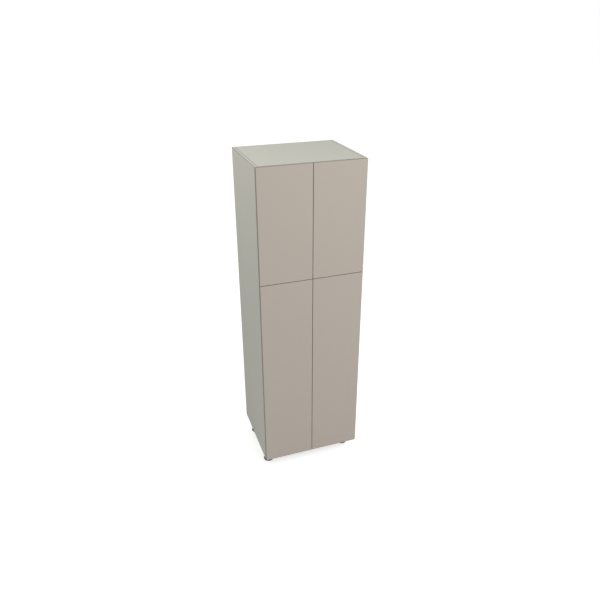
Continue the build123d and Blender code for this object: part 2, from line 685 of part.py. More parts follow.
# Dowels in the boards and in the rails
dowels = []
for side in (-1, 1):
    for level in BOARD_BOTTOMS:
        dowels += [dowel(side, row, level + PANEL / 2) for row in DOWEL_ROWS]
    dowels += [dowel(side, RAIL_Y, level + RAIL_HEIGHT / 2) for level in RAIL_BOTTOMS.values()]
write("dowels", dowels)

# Adjustable shelves, their bands and their pins
shelf_names = [f"shelf_upper_{step + 1}" for step in range(UPPER_SHELVES)]
shelf_names += [f"shelf_lower_{step + 1}" for step in range(LOWER_SHELVES)]
shelf_bands = []
shelf_pins = []
for name, level in zip(shelf_names, UPPER_LEVELS + LOWER_LEVELS):
    write(name, [adjustable_shelf(level)])
    front = CARCASS_FRONT + SHELF_SETBACK
    shelf_bands.append(board(-SHELF_HALF, SHELF_HALF, front, front + BAND, level, level + PANEL))
    for row in PIN_ROWS:
        shelf_pins += both_sides(shelf_pin(row, level))
write("shelf_edge_bands", shelf_bands)
write("shelf_pins", shelf_pins)

# Doors, each with its bands, hinge cups, pins, strike plate and latch plunger
cup = LEFT_HINGE_ORIGIN * hinge_cup()
pin = LEFT_HINGE_ORIGIN * hinge_pin()
cups = {-1: cup, 1: mirrored(cup)}
pins = {-1: pin, 1: mirrored(pin)}
for row_name, (door_bottom, door_top) in DOOR_LEVELS.items():
    levels = HINGE_LEVELS[row_name]
    for side_name, side in (("left", -1), ("right", 1)):
        name = f"{row_name}_{side_name}"
        x0, x1 = sorted((side * (HALF_WIDTH - DOOR_REVEAL), side * DOOR_GAP / 2))
        write(f"door_{name}", [door(x0, x1, door_bottom, door_top, side, levels)])
        write(f"door_edge_bands_{name}", door_edge_bands(x0, x1, door_bottom, door_top))
        write(f"hinge_cups_{name}", [Pos(0, 0, level) * cups[side] for level in levels])
        write(f"hinge_pins_{name}", [Pos(0, 0, level) * pins[side] for level in levels])
        write(f"strike_plate_{name}", [strike_plate(side, LATCH_CEILINGS[row_name])])
        write(f"latch_plunger_{name}", [latch_plunger(side, LATCH_CEILINGS[row_name])])

# The carcass side of the hinges
arm = LEFT_HINGE_ORIGIN * hinge_arm()
plate = LEFT_HINGE_ORIGIN * mounting_plate()
hinge_arms = []
mounting_plates = []
plate_screws = []
for level in HINGE_LEVELS["upper"] + HINGE_LEVELS["lower"]:
    hinge_arms += both_sides(Pos(0, 0, level) * arm)
    mounting_plates += both_sides(Pos(0, 0, level) * plate)
    for seat in plate_screw_seats(level):
        plate_screws += both_sides(screw(seat, (-1, 0, 0), PLATE_SCREW_RADIUS, PLATE_THICKNESS))
write("hinge_arms", hinge_arms)
write("mounting_plates", mounting_plates)
write("plate_screws", plate_screws)

# Latch housings
latches = []
latch_screws = []
for ceiling in LATCH_CEILINGS.values():
    for side in (-1, 1):
        latches.append(push_latch(side, ceiling))
        for seat in latch_screw_seats(side, ceiling):
            latch_screws.append(screw(seat, (0, 0, 1), SCREW_RADIUS, LATCH_EAR_THICKNESS))
write("push_latches", latches)
write("latch_screws", latch_screws)

# Legs
sockets = []
tubes = []
leg_screws = []
for name, (x, y) in LEG_PLACES.items():
    sockets.append(leg_socket(x, y))
    tubes.append(leg_tube(x, y))
    for seat in leg_screw_seats(x, y):
        leg_screws.append(screw(seat, (0, 0, 1), SCREW_RADIUS, SOCKET_PLATE_THICKNESS))
    write(f"foot_{name}", [foot(x, y)])
write("leg_sockets", sockets)
write("leg_tubes", tubes)
write("leg_screws", leg_screws)
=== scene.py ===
import math
import bmesh
import bpy
from mathutils import Matrix, Vector


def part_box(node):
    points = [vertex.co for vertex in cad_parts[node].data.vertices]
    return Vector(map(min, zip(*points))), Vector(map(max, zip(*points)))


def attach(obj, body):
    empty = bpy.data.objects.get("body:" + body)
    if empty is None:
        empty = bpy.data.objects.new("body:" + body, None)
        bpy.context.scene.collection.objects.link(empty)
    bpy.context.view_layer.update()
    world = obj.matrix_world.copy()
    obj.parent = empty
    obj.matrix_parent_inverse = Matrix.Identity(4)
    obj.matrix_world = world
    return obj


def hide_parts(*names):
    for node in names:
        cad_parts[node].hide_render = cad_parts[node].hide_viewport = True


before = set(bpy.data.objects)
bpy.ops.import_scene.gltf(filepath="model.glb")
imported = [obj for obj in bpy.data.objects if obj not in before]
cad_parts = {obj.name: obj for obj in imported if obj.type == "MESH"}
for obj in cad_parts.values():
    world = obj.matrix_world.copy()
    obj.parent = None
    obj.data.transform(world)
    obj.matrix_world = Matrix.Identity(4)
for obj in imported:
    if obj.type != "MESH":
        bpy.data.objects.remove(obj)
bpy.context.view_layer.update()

# Side panels: 19 mm particle board faced on both sides with a matt grey-green laminate.
# They are cut square, with a band at the front, a faced top edge and a raw back edge.
# The top, the bottom and the fixed shelf are doweled between them.
CARCASS_COLOUR = (0.503, 0.497, 0.434)
LAMINATE_ROUGHNESS = 0.58
LAMINATE_RELIEF = 0.00004
LAMINATE_BUMP = 0.6
CORE_LIGHT = (0.46, 0.33, 0.20)
CORE_DARK = (0.20, 0.125, 0.065)
CORE_ROUGHNESS = 0.85
TOP_SKIN = 0.0005
# Joints: a dark line where a board meets a side panel, both the joint itself and painted contact shade
# fading out over the reach beside it.
JOINT_AND_SHADE_COLOUR = (0.05, 0.047, 0.042)
JOINT_SHADE_REACH = 0.0030
JOINT_SHADE_DARKNESS = 0.95
SIDE_LOW, SIDE_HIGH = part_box("side_panel_left")
BOX_TOP = SIDE_HIGH.z
HALF_WIDTH = -SIDE_LOW.x
INNER_HALF = -SIDE_HIGH.x


def node_group(name, inputs, outputs, tree_kind="ShaderNodeTree"):
    """A new group of nodes, with the sockets that lead into it and those that lead out."""
    tree = bpy.data.node_groups.new(name, tree_kind)
    for socket, kind, value in inputs:
        item = tree.interface.new_socket(socket, in_out="INPUT", socket_type="NodeSocket" + kind)
        if value is not None:
            item.default_value = value
    for socket, kind in outputs:
        tree.interface.new_socket(socket, in_out="OUTPUT", socket_type="NodeSocket" + kind)
    return tree, tree.nodes.new("NodeGroupInput").outputs, tree.nodes.new("NodeGroupOutput").inputs


def feed(socket, value):
    """Links a socket from another one, or sets its value. A colour is written without its alpha."""
    if isinstance(value, bpy.types.NodeSocket):
        socket.id_data.links.new(value, socket)
    elif value is not None:
        socket.default_value = (*value, 1.0) if socket.type == "RGBA" else value


def add_node(tree, kind, inputs=None, **settings):
    """A node with its settings made and its inputs fed."""
    node = tree.nodes.new(kind)
    for name, value in settings.items():
        setattr(node, name, value)
    for name, value in (inputs or {}).items():
        feed(node.inputs[name], value)
    return node


def maths(operation, first, second=None, clamp=False):
    """What a Math node makes of two values, of which at least one is a socket."""
    tree = (first if isinstance(first, bpy.types.NodeSocket) else second).id_data
    values = {0: first, 1: second}
    return add_node(tree, "ShaderNodeMath", values, operation=operation, use_clamp=clamp).outputs[0]


def plus(first, second):
    """The sum of two values."""
    return maths("ADD", first, second)


def minus(first, second):
    """The first value less the second."""
    return maths("SUBTRACT", first, second)


def times(first, second):
    """The product of two values."""
    return maths("MULTIPLY", first, second)


def over(first, second):
    """The first value divided by the second."""
    return maths("DIVIDE", first, second)


def swing(value, amount):
    """A value between 0 and 1 turned into a swing about 0."""
    return times(minus(value, 0.5), amount)


def noise(place, scale, detail=2.0, roughness=0.5):
    """A Noise Texture on a place, and its value between 0 and 1."""
    values = {"Vector": place, "Scale": scale, "Detail": detail, "Roughness": roughness}
    return add_node(place.id_data, "ShaderNodeTexNoise", values).outputs["Fac"]


def blended(share, first, second):
    """A colour between two, by a share from 0 to 1."""
    values = {0: share, 6: first, 7: second}
    return add_node(share.id_data, "ShaderNodeMix", values, data_type="RGBA").outputs[2]


def toned(colour, change):
    """A colour made lighter or darker by a change about 0."""
    level = plus(change, 1.0)
    tone = add_node(colour.id_data, "ShaderNodeCombineColor", {0: level, 1: level, 2: level}).outputs[0]
    values = {0: 1.0, 6: colour, 7: tone}
    mix = add_node(colour.id_data, "ShaderNodeMix", values, data_type="RGBA", blend_type="MULTIPLY")
    return mix.outputs[2]


def new_finish(name, roughness=0.5, metallic=0.0):
    """A material with its Principled shader and the Object coordinates of the piece."""
    material = bpy.data.materials.new(name)
    material.use_nodes = True
    shader = material.node_tree.nodes["Principled BSDF"]
    feed(shader.inputs["Roughness"], roughness)
    feed(shader.inputs["Metallic"], metallic)
    return material, shader, add_node(material.node_tree, "ShaderNodeTexCoord").outputs["Object"]


def surface_of(group, place, **values):
    """The outputs of a surface group, set in the material that its place comes from."""
    return add_node(place.id_data, "ShaderNodeGroup", {"Vector": place, **values}, node_tree=group).outputs


def link_bump(shader, height, distance, strength=0.5):
    """Gives a shader a bump of a distance in metres from a height socket."""
    values = {"Height": height, "Distance": distance, "Strength": strength}
    feed(shader.inputs["Normal"], add_node(shader.id_data, "ShaderNodeBump", values).outputs["Normal"])


# The printed face of a laminate: a broad tonal drift, a fine speckle and a pebbled surface
SURFACE_OUTPUTS = [("Colour", "Color"), ("Roughness", "Float"), ("Height", "Float")]
laminate_face, face_in, face_out = node_group(
    "Laminate face",
    [("Vector", "Vector", None), ("Colour", "Color", (0.5, 0.5, 0.5, 1.0)),
     ("Drift", "Float", 0.03), ("Speckle", "Float", 0.04)],
    SURFACE_OUTPUTS,
)
cloud = noise(face_in["Vector"], 2.3, 3.0)
fine = noise(face_in["Vector"], 420.0, 2.0, 0.6)
pebble = noise(face_in["Vector"], 1500.0, 1.0)
speckled = plus(swing(cloud, face_in["Drift"]), swing(fine, face_in["Speckle"]))
feed(face_out["Colour"], toned(face_in["Colour"], speckled))
matt = plus(times(cloud, 0.10), LAMINATE_ROUGHNESS)
feed(face_out["Roughness"], plus(matt, times(pebble, 0.08)))
feed(face_out["Height"], plus(pebble, times(fine, 0.6)))

# Raw particle board: pressed chips and strands of wood, lighter and darker
chip_core, core_in, core_out = node_group(
    "Chip core",
    [("Vector", "Vector", None), ("Light", "Color", (0.4, 0.3, 0.2, 1.0)),
     ("Dark", "Color", (0.2, 0.1, 0.05, 1.0))],
    [("Colour", "Color")],
)
chips = add_node(chip_core, "ShaderNodeTexVoronoi", {
    "Vector": core_in["Vector"], "Scale": 380.0, "Randomness": 1.0})
chip_tone = add_node(chip_core, "ShaderNodeSeparateColor", {0: chips.outputs["Color"]}).outputs[0]
strand = noise(core_in["Vector"], 900.0, 3.0, 0.7)
darkness = plus(times(chip_tone, 0.6), times(strand, 0.4))
feed(core_out["Colour"], blended(darkness, core_in["Light"], core_in["Dark"]))


def joint_shade_line(distance):
    """A line of painted shade, darkest where a distance is 0 and fading out over the reach; at a joint it
    also draws the dark joint itself.
    """
    return maths("SUBTRACT", 1.0, over(distance, JOINT_SHADE_REACH), clamp=True)


def faced_board(name, face_axis):
    """Laminate on a board's two faces, raw core on its cut edges and in its bores, and dark joints with
    painted shade fading out beside them.

    face_axis is the axis across the board's thickness: 0 for X, 1 for Y and 2 for Z.
    A board across X is a side panel, whose top edge is faced too, and which gets painted shade along its
    outer top arris.
    """
    material, shader, place = new_finish(name)
    face = surface_of(laminate_face, place, Colour=CARCASS_COLOUR, Drift=0.03, Speckle=0.05)
    core = surface_of(chip_core, place, Light=CORE_LIGHT, Dark=CORE_DARK)
    where = add_node(place.id_data, "ShaderNodeSeparateXYZ", {0: place}).outputs
    normal = add_node(place.id_data, "ShaderNodeSeparateXYZ", {0: place.node.outputs["Normal"]}).outputs
    edge = maths("LESS_THAN", maths("ABSOLUTE", normal[face_axis]), 0.5)
    from_middle = maths("ABSOLUTE", where["X"])
    # The dark joint and painted shade beside it, where the board meets a side panel
    line = joint_shade_line(maths("ABSOLUTE", minus(from_middle, INNER_HALF)))
    if face_axis == 0:
        edge = times(edge, maths("LESS_THAN", where["Z"], BOX_TOP - TOP_SKIN))
        line = times(line, maths("GREATER_THAN", normal["Z"], 0.5))
        # Painted shade along the side panel's outer top arris, on its top edge and on its outer face
        to_arris = maths("MAXIMUM", minus(HALF_WIDTH, from_middle), minus(BOX_TOP, where["Z"]))
        line = maths("MAXIMUM", line, joint_shade_line(to_arris))
    skin = blended(edge, face["Colour"], core["Colour"])
    feed(shader.inputs["Base Color"], blended(times(line, JOINT_SHADE_DARKNESS), skin, JOINT_AND_SHADE_COLOUR))
    feed(shader.inputs["Roughness"], maths("MAXIMUM", face["Roughness"], times(edge, CORE_ROUGHNESS)))
    link_bump(shader, face["Height"], LAMINATE_RELIEF, LAMINATE_BUMP)
    return material


def dress(material, *nodes):
    """Gives CAD nodes their material."""
    for node in nodes:
        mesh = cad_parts[node].data
        mesh.materials.clear()
        mesh.materials.append(material)


dress(faced_board("Carcass laminate on sides", 0), "side_panel_left", "side_panel_right")

# Top, bottom, fixed shelf and the loose shelves: the same board, cut between the sides.
# The faces are laminate, the back edges raw, and the front edges wear plastic bands.
SHELVES = [name for name in sorted(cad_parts) if name.startswith("shelf_") and name[-1].isdigit()]
flat_finish = faced_board("Carcass laminate on flat boards", 2)
dress(flat_finish, "top_panel", "bottom_panel", "fixed_shelf", *SHELVES)

# Back panel and hanging rails: a thin faced fibreboard in grooves, and three strips of board
# behind it that stiffen the back. The wall screws go through the top one.
back_finish = faced_board("Carcass laminate on back", 1)
dress(back_finish, "back_panel", "hanging_rail_top", "hanging_rail_middle", "hanging_rail_bottom")

# Dowels: fluted beech pins, 8 mm thick and 33 mm long, chamfered at both ends.
# They are glued a third into the side panels and two thirds into the ends of the boards.
DOWEL_RADIUS = 0.0039
DOWEL_LENGTH = 0.033
DOWEL_CHAMFER = 0.0012
DOWEL_FLUTES = 12
FLUTE_DEPTH = 0.05
BEECH_LIGHT = (0.62, 0.42, 0.25)
BEECH_DARK = (0.47, 0.29, 0.16)
SMOOTH_ANGLE = 40.0


def solids_of(node):
    """The lowest and highest corner of each separate solid in a CAD node, in a fixed order."""
    copy = bmesh.new()
    copy.from_mesh(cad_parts[node].data)
    bmesh.ops.remove_doubles(copy, verts=copy.verts, dist=1e-6)
    seen = set()
    boxes = []
    for first in copy.verts:
        if first in seen:
            continue
        solid = [first]
        seen.add(first)
        for vert in solid:
            for edge in vert.link_edges:
                other = edge.other_vert(vert)
                if other not in seen:
                    seen.add(other)
                    solid.append(other)
        low = Vector([min(vert.co[axis] for vert in solid) for axis in range(3)])
        high = Vector([max(vert.co[axis] for vert in solid) for axis in range(3)])
        boxes.append((low, high))
    copy.free()
    return sorted(boxes, key=lambda box: [round(value, 5) for value in box[0]])


def middle(low, high):
    """The point midway between two corners."""
    return [(start + end) / 2 for start, end in zip(low, high)]


def loft(rings, closed=False):
    """A form skinned over rings of equal counts, capped at both ends or closed on itself."""
    form = bmesh.new()
    loops = [[form.verts.new(point) for point in ring] for ring in rings]
    pairs = list(zip(loops, loops[1:]))
    if closed:
        pairs.append((loops[-1], loops[0]))
    else:
        form.faces.new(loops[0])
        form.faces.new(loops[-1])
    for lower, upper in pairs:
        for step in range(len(lower)):
            form.faces.new((lower[step - 1], lower[step], upper[step], upper[step - 1]))
    bmesh.ops.recalc_face_normals(form, faces=form.faces)
    return form


def turned(profile, steps, closed=False, wave=None):
    """A form turned about Z from (radius, height) points. wave gives a share of the radius at an angle."""
    angles = [2 * math.pi * step / steps for step in range(steps)]
    rings = []
    for radius, height in profile:
        reaches = [radius * (wave(angle) if wave else 1.0) for angle in angles]
        rings.append([(reach * math.cos(angle), reach * math.sin(angle), height)
                      for reach, angle in zip(reaches, angles)])
    return loft(rings, closed)


def finished(name, mesh):
    """A finished object from a mesh, shaded smooth except at its sharp edges."""
    mesh.polygons.foreach_set("use_smooth", [True] * len(mesh.polygons))
    mesh.set_sharp_from_angle(angle=math.radians(SMOOTH_ANGLE))
    piece = bpy.data.objects.new(name, mesh)
    bpy.context.scene.collection.objects.link(piece)
    return piece


def new_piece(name, form, material):
    """A finished object from a form."""
    bmesh.ops.recalc_face_normals(form, faces=form.faces)
    mesh = bpy.data.meshes.new(name)
    form.to_mesh(mesh)
    form.free()
    mesh.materials.append(material)
    return finished(name, mesh)


def end_with_copies(tree, tree_in, tree_out, form):
    """Ends a tree: copies of a form on its points, each turned by the point, made real and painted."""
    turn = add_node(tree, "GeometryNodeInputNamedAttribute", {"Name": "turn"}, data_type="FLOAT_VECTOR")
    rotation = add_node(tree, "FunctionNodeEulerToRotation", {"Euler": turn.outputs["Attribute"]})
    spread = add_node(tree, "GeometryNodeInstanceOnPoints", {
        "Points": tree_in["Places"], "Instance": form, "Rotation": rotation.outputs["Rotation"]})
    real = add_node(tree, "GeometryNodeRealizeInstances", {"Geometry": spread.outputs["Instances"]})
    painted = add_node(tree, "GeometryNodeSetMaterial", {
        "Geometry": real.outputs["Geometry"], "Material": tree_in["Finish"]})
    feed(tree_out["Geometry"], painted.outputs["Geometry"])


copies_tree, copies_in, copies_out = node_group(
    "Copies at places",
    [("Places", "Geometry", None), ("Form", "Object", None), ("Finish", "Material", None)],
    [("Geometry", "Geometry")],
    "GeometryNodeTree",
)
form_info = add_node(copies_tree, "GeometryNodeObjectInfo", {"Object": copies_in["Form"]})
end_with_copies(copies_tree, copies_in, copies_out, form_info.outputs["Geometry"])


def run_tree(name, tree, places, **values):
    """Runs a tree on (point, turn) places and gives the plain mesh that comes out as a finished piece."""
    points = bpy.data.meshes.new(name + "_places")
    points.from_pydata([tuple(point) for point, turn in places], [], [])
    turns = points.attributes.new("turn", "FLOAT_VECTOR", "POINT")
    turns.data.foreach_set("vector", [angle for point, turn in places for angle in turn])
    host = bpy.data.objects.new(name + "_places", points)
    bpy.context.scene.collection.objects.link(host)
    modifier = host.modifiers.new("copies", "NODES")
    modifier.node_group = tree
    for item in tree.interface.items_tree:
        key = item.name.replace(" ", "_")
        if item.in_out == "INPUT" and key in values:
            modifier[item.identifier] = values[key]
    mesh = bpy.data.meshes.new_from_object(host.evaluated_get(bpy.context.evaluated_depsgraph_get()))
    bpy.data.objects.remove(host)
    bpy.data.meshes.remove(points)
    return finished(name, mesh)


def copies(name, form, places, material):
    """Copies of one form at (point, turn) places, as one finished piece."""
    pattern = new_piece(name + "_pattern", form, material)
    piece = run_tree(name, copies_tree, places, Form=pattern, Finish=material)
    bpy.data.objects.remove(pattern)
    return piece


def fit(piece, body, slot, *nodes):
    """Gives a piece its body and hides the CAD nodes that it stands for. The slot is not used."""
    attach(piece, body)
    if nodes:
        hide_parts(*nodes)


def stretched(place, scale):
    """A place whose patterns are drawn out where the scale is low."""
    return add_node(place.id_data, "ShaderNodeMapping", {"Vector": place, "Scale": scale}).outputs["Vector"]


def fluted(angle):
    """The share of its radius that a dowel has at an angle, less in a flute."""
    return 1.0 - FLUTE_DEPTH * (0.5 + 0.5 * math.cos(DOWEL_FLUTES * angle))


beech, beech_shader, beech_place = new_finish("Beech", 0.55)
grain = noise(stretched(beech_place, (40.0, 900.0, 900.0)), 1.0, 4.0, 0.65)
feed(beech_shader.inputs["Base Color"], blended(grain, BEECH_LIGHT, BEECH_DARK))
link_bump(beech_shader, grain, 0.00006)

dowel_end = DOWEL_RADIUS - DOWEL_CHAMFER / 2
dowel_profile = [(dowel_end, 0.0), (DOWEL_RADIUS, DOWEL_CHAMFER),
                 (DOWEL_RADIUS, DOWEL_LENGTH - DOWEL_CHAMFER), (dowel_end, DOWEL_LENGTH)]
dowel_form = turned(dowel_profile, 4 * DOWEL_FLUTES, wave=fluted)
dowel_places = [((low.x, *middle(low, high)[1:]), (0.0, math.pi / 2, 0.0))
                for low, high in solids_of("dowels")]
fit(copies("fluted_dowels", dowel_form, dowel_places, beech), "carcass", "dowel_wood", "dowels")

# Front bands of the carcass and the shelves: 1 mm plastic strips in the carcass colour,
# glued to the boards' front edges, their front arrises rounded over.
BAND = 0.001
BAND_ROUNDING = 0.0004
CARCASS_BOARDS = ["side_panel_left", "side_panel_right", "top_panel", "bottom_panel", "fixed_shelf"]


def link_surface(shader, surface, relief, strength=0.5):
    """Gives a shader the colour, the roughness and the height that a surface group puts out."""
    feed(shader.inputs["Base Color"], surface["Colour"])
    feed(shader.inputs["Roughness"], surface["Roughness"])
    link_bump(shader, surface["Height"], relief, strength)


def band_plastic(name, colour):
    """The plastic of an edge band: it is printed like the laminate, but is smoother."""
    material, shader, place = new_finish(name)
    face = surface_of(laminate_face, place, Colour=colour, Drift=0.02, Speckle=0.03)
    link_surface(shader, face, 0.00003)
    return material


def round_over(form, edges, rounding, segments=2):
    """Rounds some edges of a form."""
    bmesh.ops.bevel(form, geom=edges, offset=rounding, segments=segments, affect="EDGES", profile=0.5,
                    clamp_overlap=True)
    return form


def round_edges(form, rounding, segments=2, sharp=25.0):
    """Rounds the edges of a form that are sharper than an angle in degrees."""
    limit = math.radians(sharp)
    edges = [edge for edge in form.edges if edge.is_manifold and edge.calc_face_angle() > limit]
    return round_over(form, edges, rounding, segments)


def block(low, high):
    """A block between two corners."""
    size = [end - start for start, end in zip(low, high)]
    place = Matrix.Translation(middle(low, high)) @ Matrix.Diagonal((*size, 1.0))
    form = bmesh.new()
    bmesh.ops.create_cube(form, size=1.0, matrix=place)
    return form


def join(shell, form, place=None):
    """Adds a form to a shell, at a place given by a matrix."""
    if place is not None:
        form.transform(place)
    mesh = bpy.data.meshes.new("form")
    form.to_mesh(mesh)
    form.free()
    shell.from_mesh(mesh)
    bpy.data.meshes.remove(mesh)


carcass_band = band_plastic("Carcass edge plastic", CARCASS_COLOUR)
for node, boards in (("carcass_edge_bands", CARCASS_BOARDS), ("shelf_edge_bands", SHELVES)):
    shell = bmesh.new()
    for board in boards:
        low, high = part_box(board)
        strip = block((low.x, low.y - BAND, low.z), (high.x, low.y, high.z))
        front = [edge for edge in strip.edges if max(vert.co.y for vert in edge.verts) < low.y - BAND / 2]
        join(shell, round_over(strip, front, BAND_ROUNDING))
    fit(new_piece("rounded_" + node, shell, carcass_band), "carcass", "carcass_edge", node)

# Shelf pins: nickel-plated steel spoons, four under each loose shelf.
# A 5 mm peg is pushed into the side panel, and the pad in front of it thins towards its tip.
PIN_RADIUS = 0.0025
PIN_COLLAR = 0.0034
PIN_PEG = 0.011
PAD_LENGTH = 0.009
PAD_HALF = 0.0055
PAD_ROOT = 0.0056
PAD_TIP = 0.0016
PAD_CORNER = 0.003
NICKEL = (0.60, 0.585, 0.55)
RIGHT = (1.0, 0.0, 0.0)
LEFT = (-1.0, 0.0, 0.0)
BACK = (0.0, 1.0, 0.0)
UP = (0.0, 0.0, 1.0)
DOWN = (0.0, 0.0, -1.0)

# Metal with a thin bright plating: slight clouding, fine grain and scuffs that vary the gloss
plated_metal, plated_in, plated_out = node_group(
    "Plated metal",
    [("Vector", "Vector", None), ("Colour", "Color", (0.6, 0.6, 0.6, 1.0)), ("Gloss", "Float", 0.3),
     ("Grain", "Float", 1500.0), ("Clouding", "Float", 0.12)],
    SURFACE_OUTPUTS,
)
haze = noise(plated_in["Vector"], 140.0, 3.0, 0.6)
scuffs = noise(plated_in["Vector"], 600.0, 4.0, 0.75)
brushing = noise(plated_in["Vector"], plated_in["Grain"])
feed(plated_out["Colour"], toned(plated_in["Colour"], swing(haze, plated_in["Clouding"])))
feed(plated_out["Roughness"], maths("ADD", plated_in["Gloss"], swing(scuffs, 0.35), clamp=True))
feed(plated_out["Height"], plus(brushing, times(scuffs, 0.5)))


def metal(name, colour, gloss, grain=1500.0, clouding=0.12, stretch=(1.0, 1.0, 1.0), relief=0.00002):
    """A plated or cast metal whose grain may be drawn out along an axis."""
    material, shader, place = new_finish(name, gloss, 1.0)
    surface = surface_of(plated_metal, stretched(place, stretch), Colour=colour, Gloss=gloss,
                         Grain=grain, Clouding=clouding)
    link_surface(shader, surface, relief)
    return material


def rounded(corners, steps=4):
    """A flat line through (x, y, radius) corners. A corner with a radius is rounded by an arc."""
    points = []
    for index, (x, y, radius) in enumerate(corners):
        here = Vector((x, y))
        if radius <= 0:
            points.append(here)
            continue
        before = (Vector(corners[index - 1][:2]) - here).normalized()
        after = (Vector(corners[(index + 1) % len(corners)][:2]) - here).normalized()
        half = before.angle(after) / 2
        centre = here + (before + after).normalized() * radius / math.sin(half)
        first = here + before * radius / math.tan(half) - centre
        last = here + after * radius / math.tan(half) - centre
        for step in range(steps + 1):
            share = step / steps
            points.append(centre + (first * (1 - share) + last * share).normalized() * radius)
    return points


def about(start, direction):
    """The place of a turned form whose Z axis runs along a direction from a point."""
    return Matrix.Translation(start) @ Vector(direction).to_track_quat("Z", "Y").to_matrix().to_4x4()


nickel = metal("Nickel plate", NICKEL, 0.26, stretch=(1.0, 0.25, 1.0))
pin_form = bmesh.new()
pad_line = rounded([(0.0, -PAD_HALF, 0.0), (PAD_LENGTH, -PAD_HALF, PAD_CORNER),
                    (PAD_LENGTH, PAD_HALF, PAD_CORNER), (0.0, PAD_HALF, 0.0)])
pad_rings = [[(x, y, -(PAD_ROOT - (PAD_ROOT - PAD_TIP) * x / PAD_LENGTH)) for x, y in pad_line],
             [(x, y, 0.0) for x, y in pad_line]]
join(pin_form, round_edges(loft(pad_rings), 0.0004))
peg_profile = [(PIN_COLLAR, -0.0006), (PIN_COLLAR, 0.0), (PIN_RADIUS, 0.0), (PIN_RADIUS, PIN_PEG - 0.0012),
               (PIN_RADIUS - 0.0008, PIN_PEG)]
join(pin_form, turned(peg_profile, 20), about((0.0, 0.0, -PAD_ROOT / 2), LEFT))
pin_places = []
for low, high in solids_of("shelf_pins"):
    side = -1 if low.x < 0 else 1
    turn = 0.0 if side < 0 else math.pi
    pin_places.append(((side * INNER_HALF, middle(low, high)[1], high.z), (0.0, 0.0, turn)))
fit(copies("spoon_pins", pin_form, pin_places, nickel), "carcass", "fitting_steel", "shelf_pins")

# Doors: fibreboard slabs faced with a warm taupe matt laminate, each bored for its hinge cups.
# A 1 mm plastic band in a darker tone runs round the four edges, its arrises rounded.
DOOR_COLOUR = (0.462, 0.407, 0.356)
DOOR_BAND_COLOUR = (0.235, 0.206, 0.180)
DOOR_BAND = 0.001
DOOR_ROUNDING = 0.0008
QUARTER_STEPS = 4
DOORS = ["upper_left", "upper_right", "lower_left", "lower_right"]
door_finish, door_shader, door_place = new_finish("Door laminate")
door_face = surface_of(laminate_face, door_place, Colour=DOOR_COLOUR, Drift=0.03, Speckle=0.05)
link_surface(door_shader, door_face, LAMINATE_RELIEF, LAMINATE_BUMP)
door_band = band_plastic("Door edge plastic", DOOR_BAND_COLOUR)


def band_ring(board_low, board_high):
    """A band round a board's four edges: its rounded section goes round the board with round corners."""
    front = board_low.y + DOOR_ROUNDING
    back = board_high.y - DOOR_ROUNDING
    flat = DOOR_BAND - DOOR_ROUNDING
    section = [(0.0, board_low.y)]
    for depth, start in ((front, -90), (back, 0)):
        for step in range(QUARTER_STEPS + 1):
            angle = math.radians(start + 90 * step / QUARTER_STEPS)
            section.append((flat + DOOR_ROUNDING * math.cos(angle), depth + DOOR_ROUNDING * math.sin(angle)))
    section.append((0.0, board_high.y))
    corners = [(board_low.x, board_low.z, 180), (board_high.x, board_low.z, 270),
               (board_high.x, board_high.z, 0), (board_low.x, board_high.z, 90)]
    rays = []
    for x, z, start in corners:
        for step in range(QUARTER_STEPS + 1):
            rays.append((x, z, math.radians(start + 90 * step / QUARTER_STEPS)))
    ring = loft([[(x + out * math.cos(angle), depth, z + out * math.sin(angle)) for x, z, angle in rays]
                 for out, depth in section], closed=True)
    bmesh.ops.remove_doubles(ring, verts=ring.verts, dist=1e-7)
    bmesh.ops.dissolve_degenerate(ring, edges=ring.edges, dist=1e-7)
    return ring


for door in DOORS:
    dress(door_finish, "door_" + door)
    ring = new_piece("door_band_" + door, band_ring(*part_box("door_" + door)), door_band)
    fit(ring, door + "_door", "door_edge", "door_edge_bands_" + door)

# Hinge cups: zinc castings with a nickel finish, pressed into a 35 mm bore in the door's back.
# A flange with two pegged wings lies on the door, open where the arm swings out, and two
# cheeks inside the pot hold the pin. Distances are from the carcass's front corner.
CARCASS_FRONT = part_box("carcass_edge_bands")[0].y
DOOR_BACK_FACE = -0.0035
CUP_X = 0.022
POT_RADIUS = 0.01685
POT_INNER = 0.0163
POT_RIM_CUT = 0.0008
POT_DEPTH = 0.012
POT_FLOOR = 0.0011
FLANGE_THICKNESS = 0.0012
FLANGE_HALF = 0.0185
FLANGE_MOUTH = 0.005
MOUTH_STEPS = 40
WING_X = 0.006
WING_HALF = 0.0055
WING_TIP = 0.0295
WING_CORNER = 0.0045
PEG_PLACE = 0.024
CHEEK_NEAR = 0.0050
CHEEK_FAR = 0.0082
CHEEK_LEFT = 0.0071
CHEEK_RIGHT = 0.0121
CHEEK_TOP = -0.0092
CAST_ROUNDING = 0.0003
PIVOT_X = 0.0086
PIVOT_Y = -0.012
CAST_ZINC = (0.56, 0.555, 0.54)


def prism(border, low, high, holes=()):
    """A plate between two heights. A hole is a pair of lines, at the lower and at the upper face."""
    form = bmesh.new()
    lines = [(border, border), *holes]
    levels = []
    for height, side in ((low, 0), (high, 1)):
        loops = [[form.verts.new((x, y, height)) for x, y in line[side]] for line in lines]
        if holes:
            edges = [form.edges.new((loop[index - 1], loop[index]))
                     for loop in loops for index in range(len(loop))]
            bmesh.ops.triangle_fill(form, edges=edges, use_beauty=True)
        else:
            form.faces.new(loops[0])
        levels.append(loops)
    for lower, upper in zip(*levels):
        for index in range(len(lower)):
            form.faces.new((lower[index - 1], lower[index], upper[index], upper[index - 1]))
    bmesh.ops.recalc_face_normals(form, faces=form.faces)
    return form


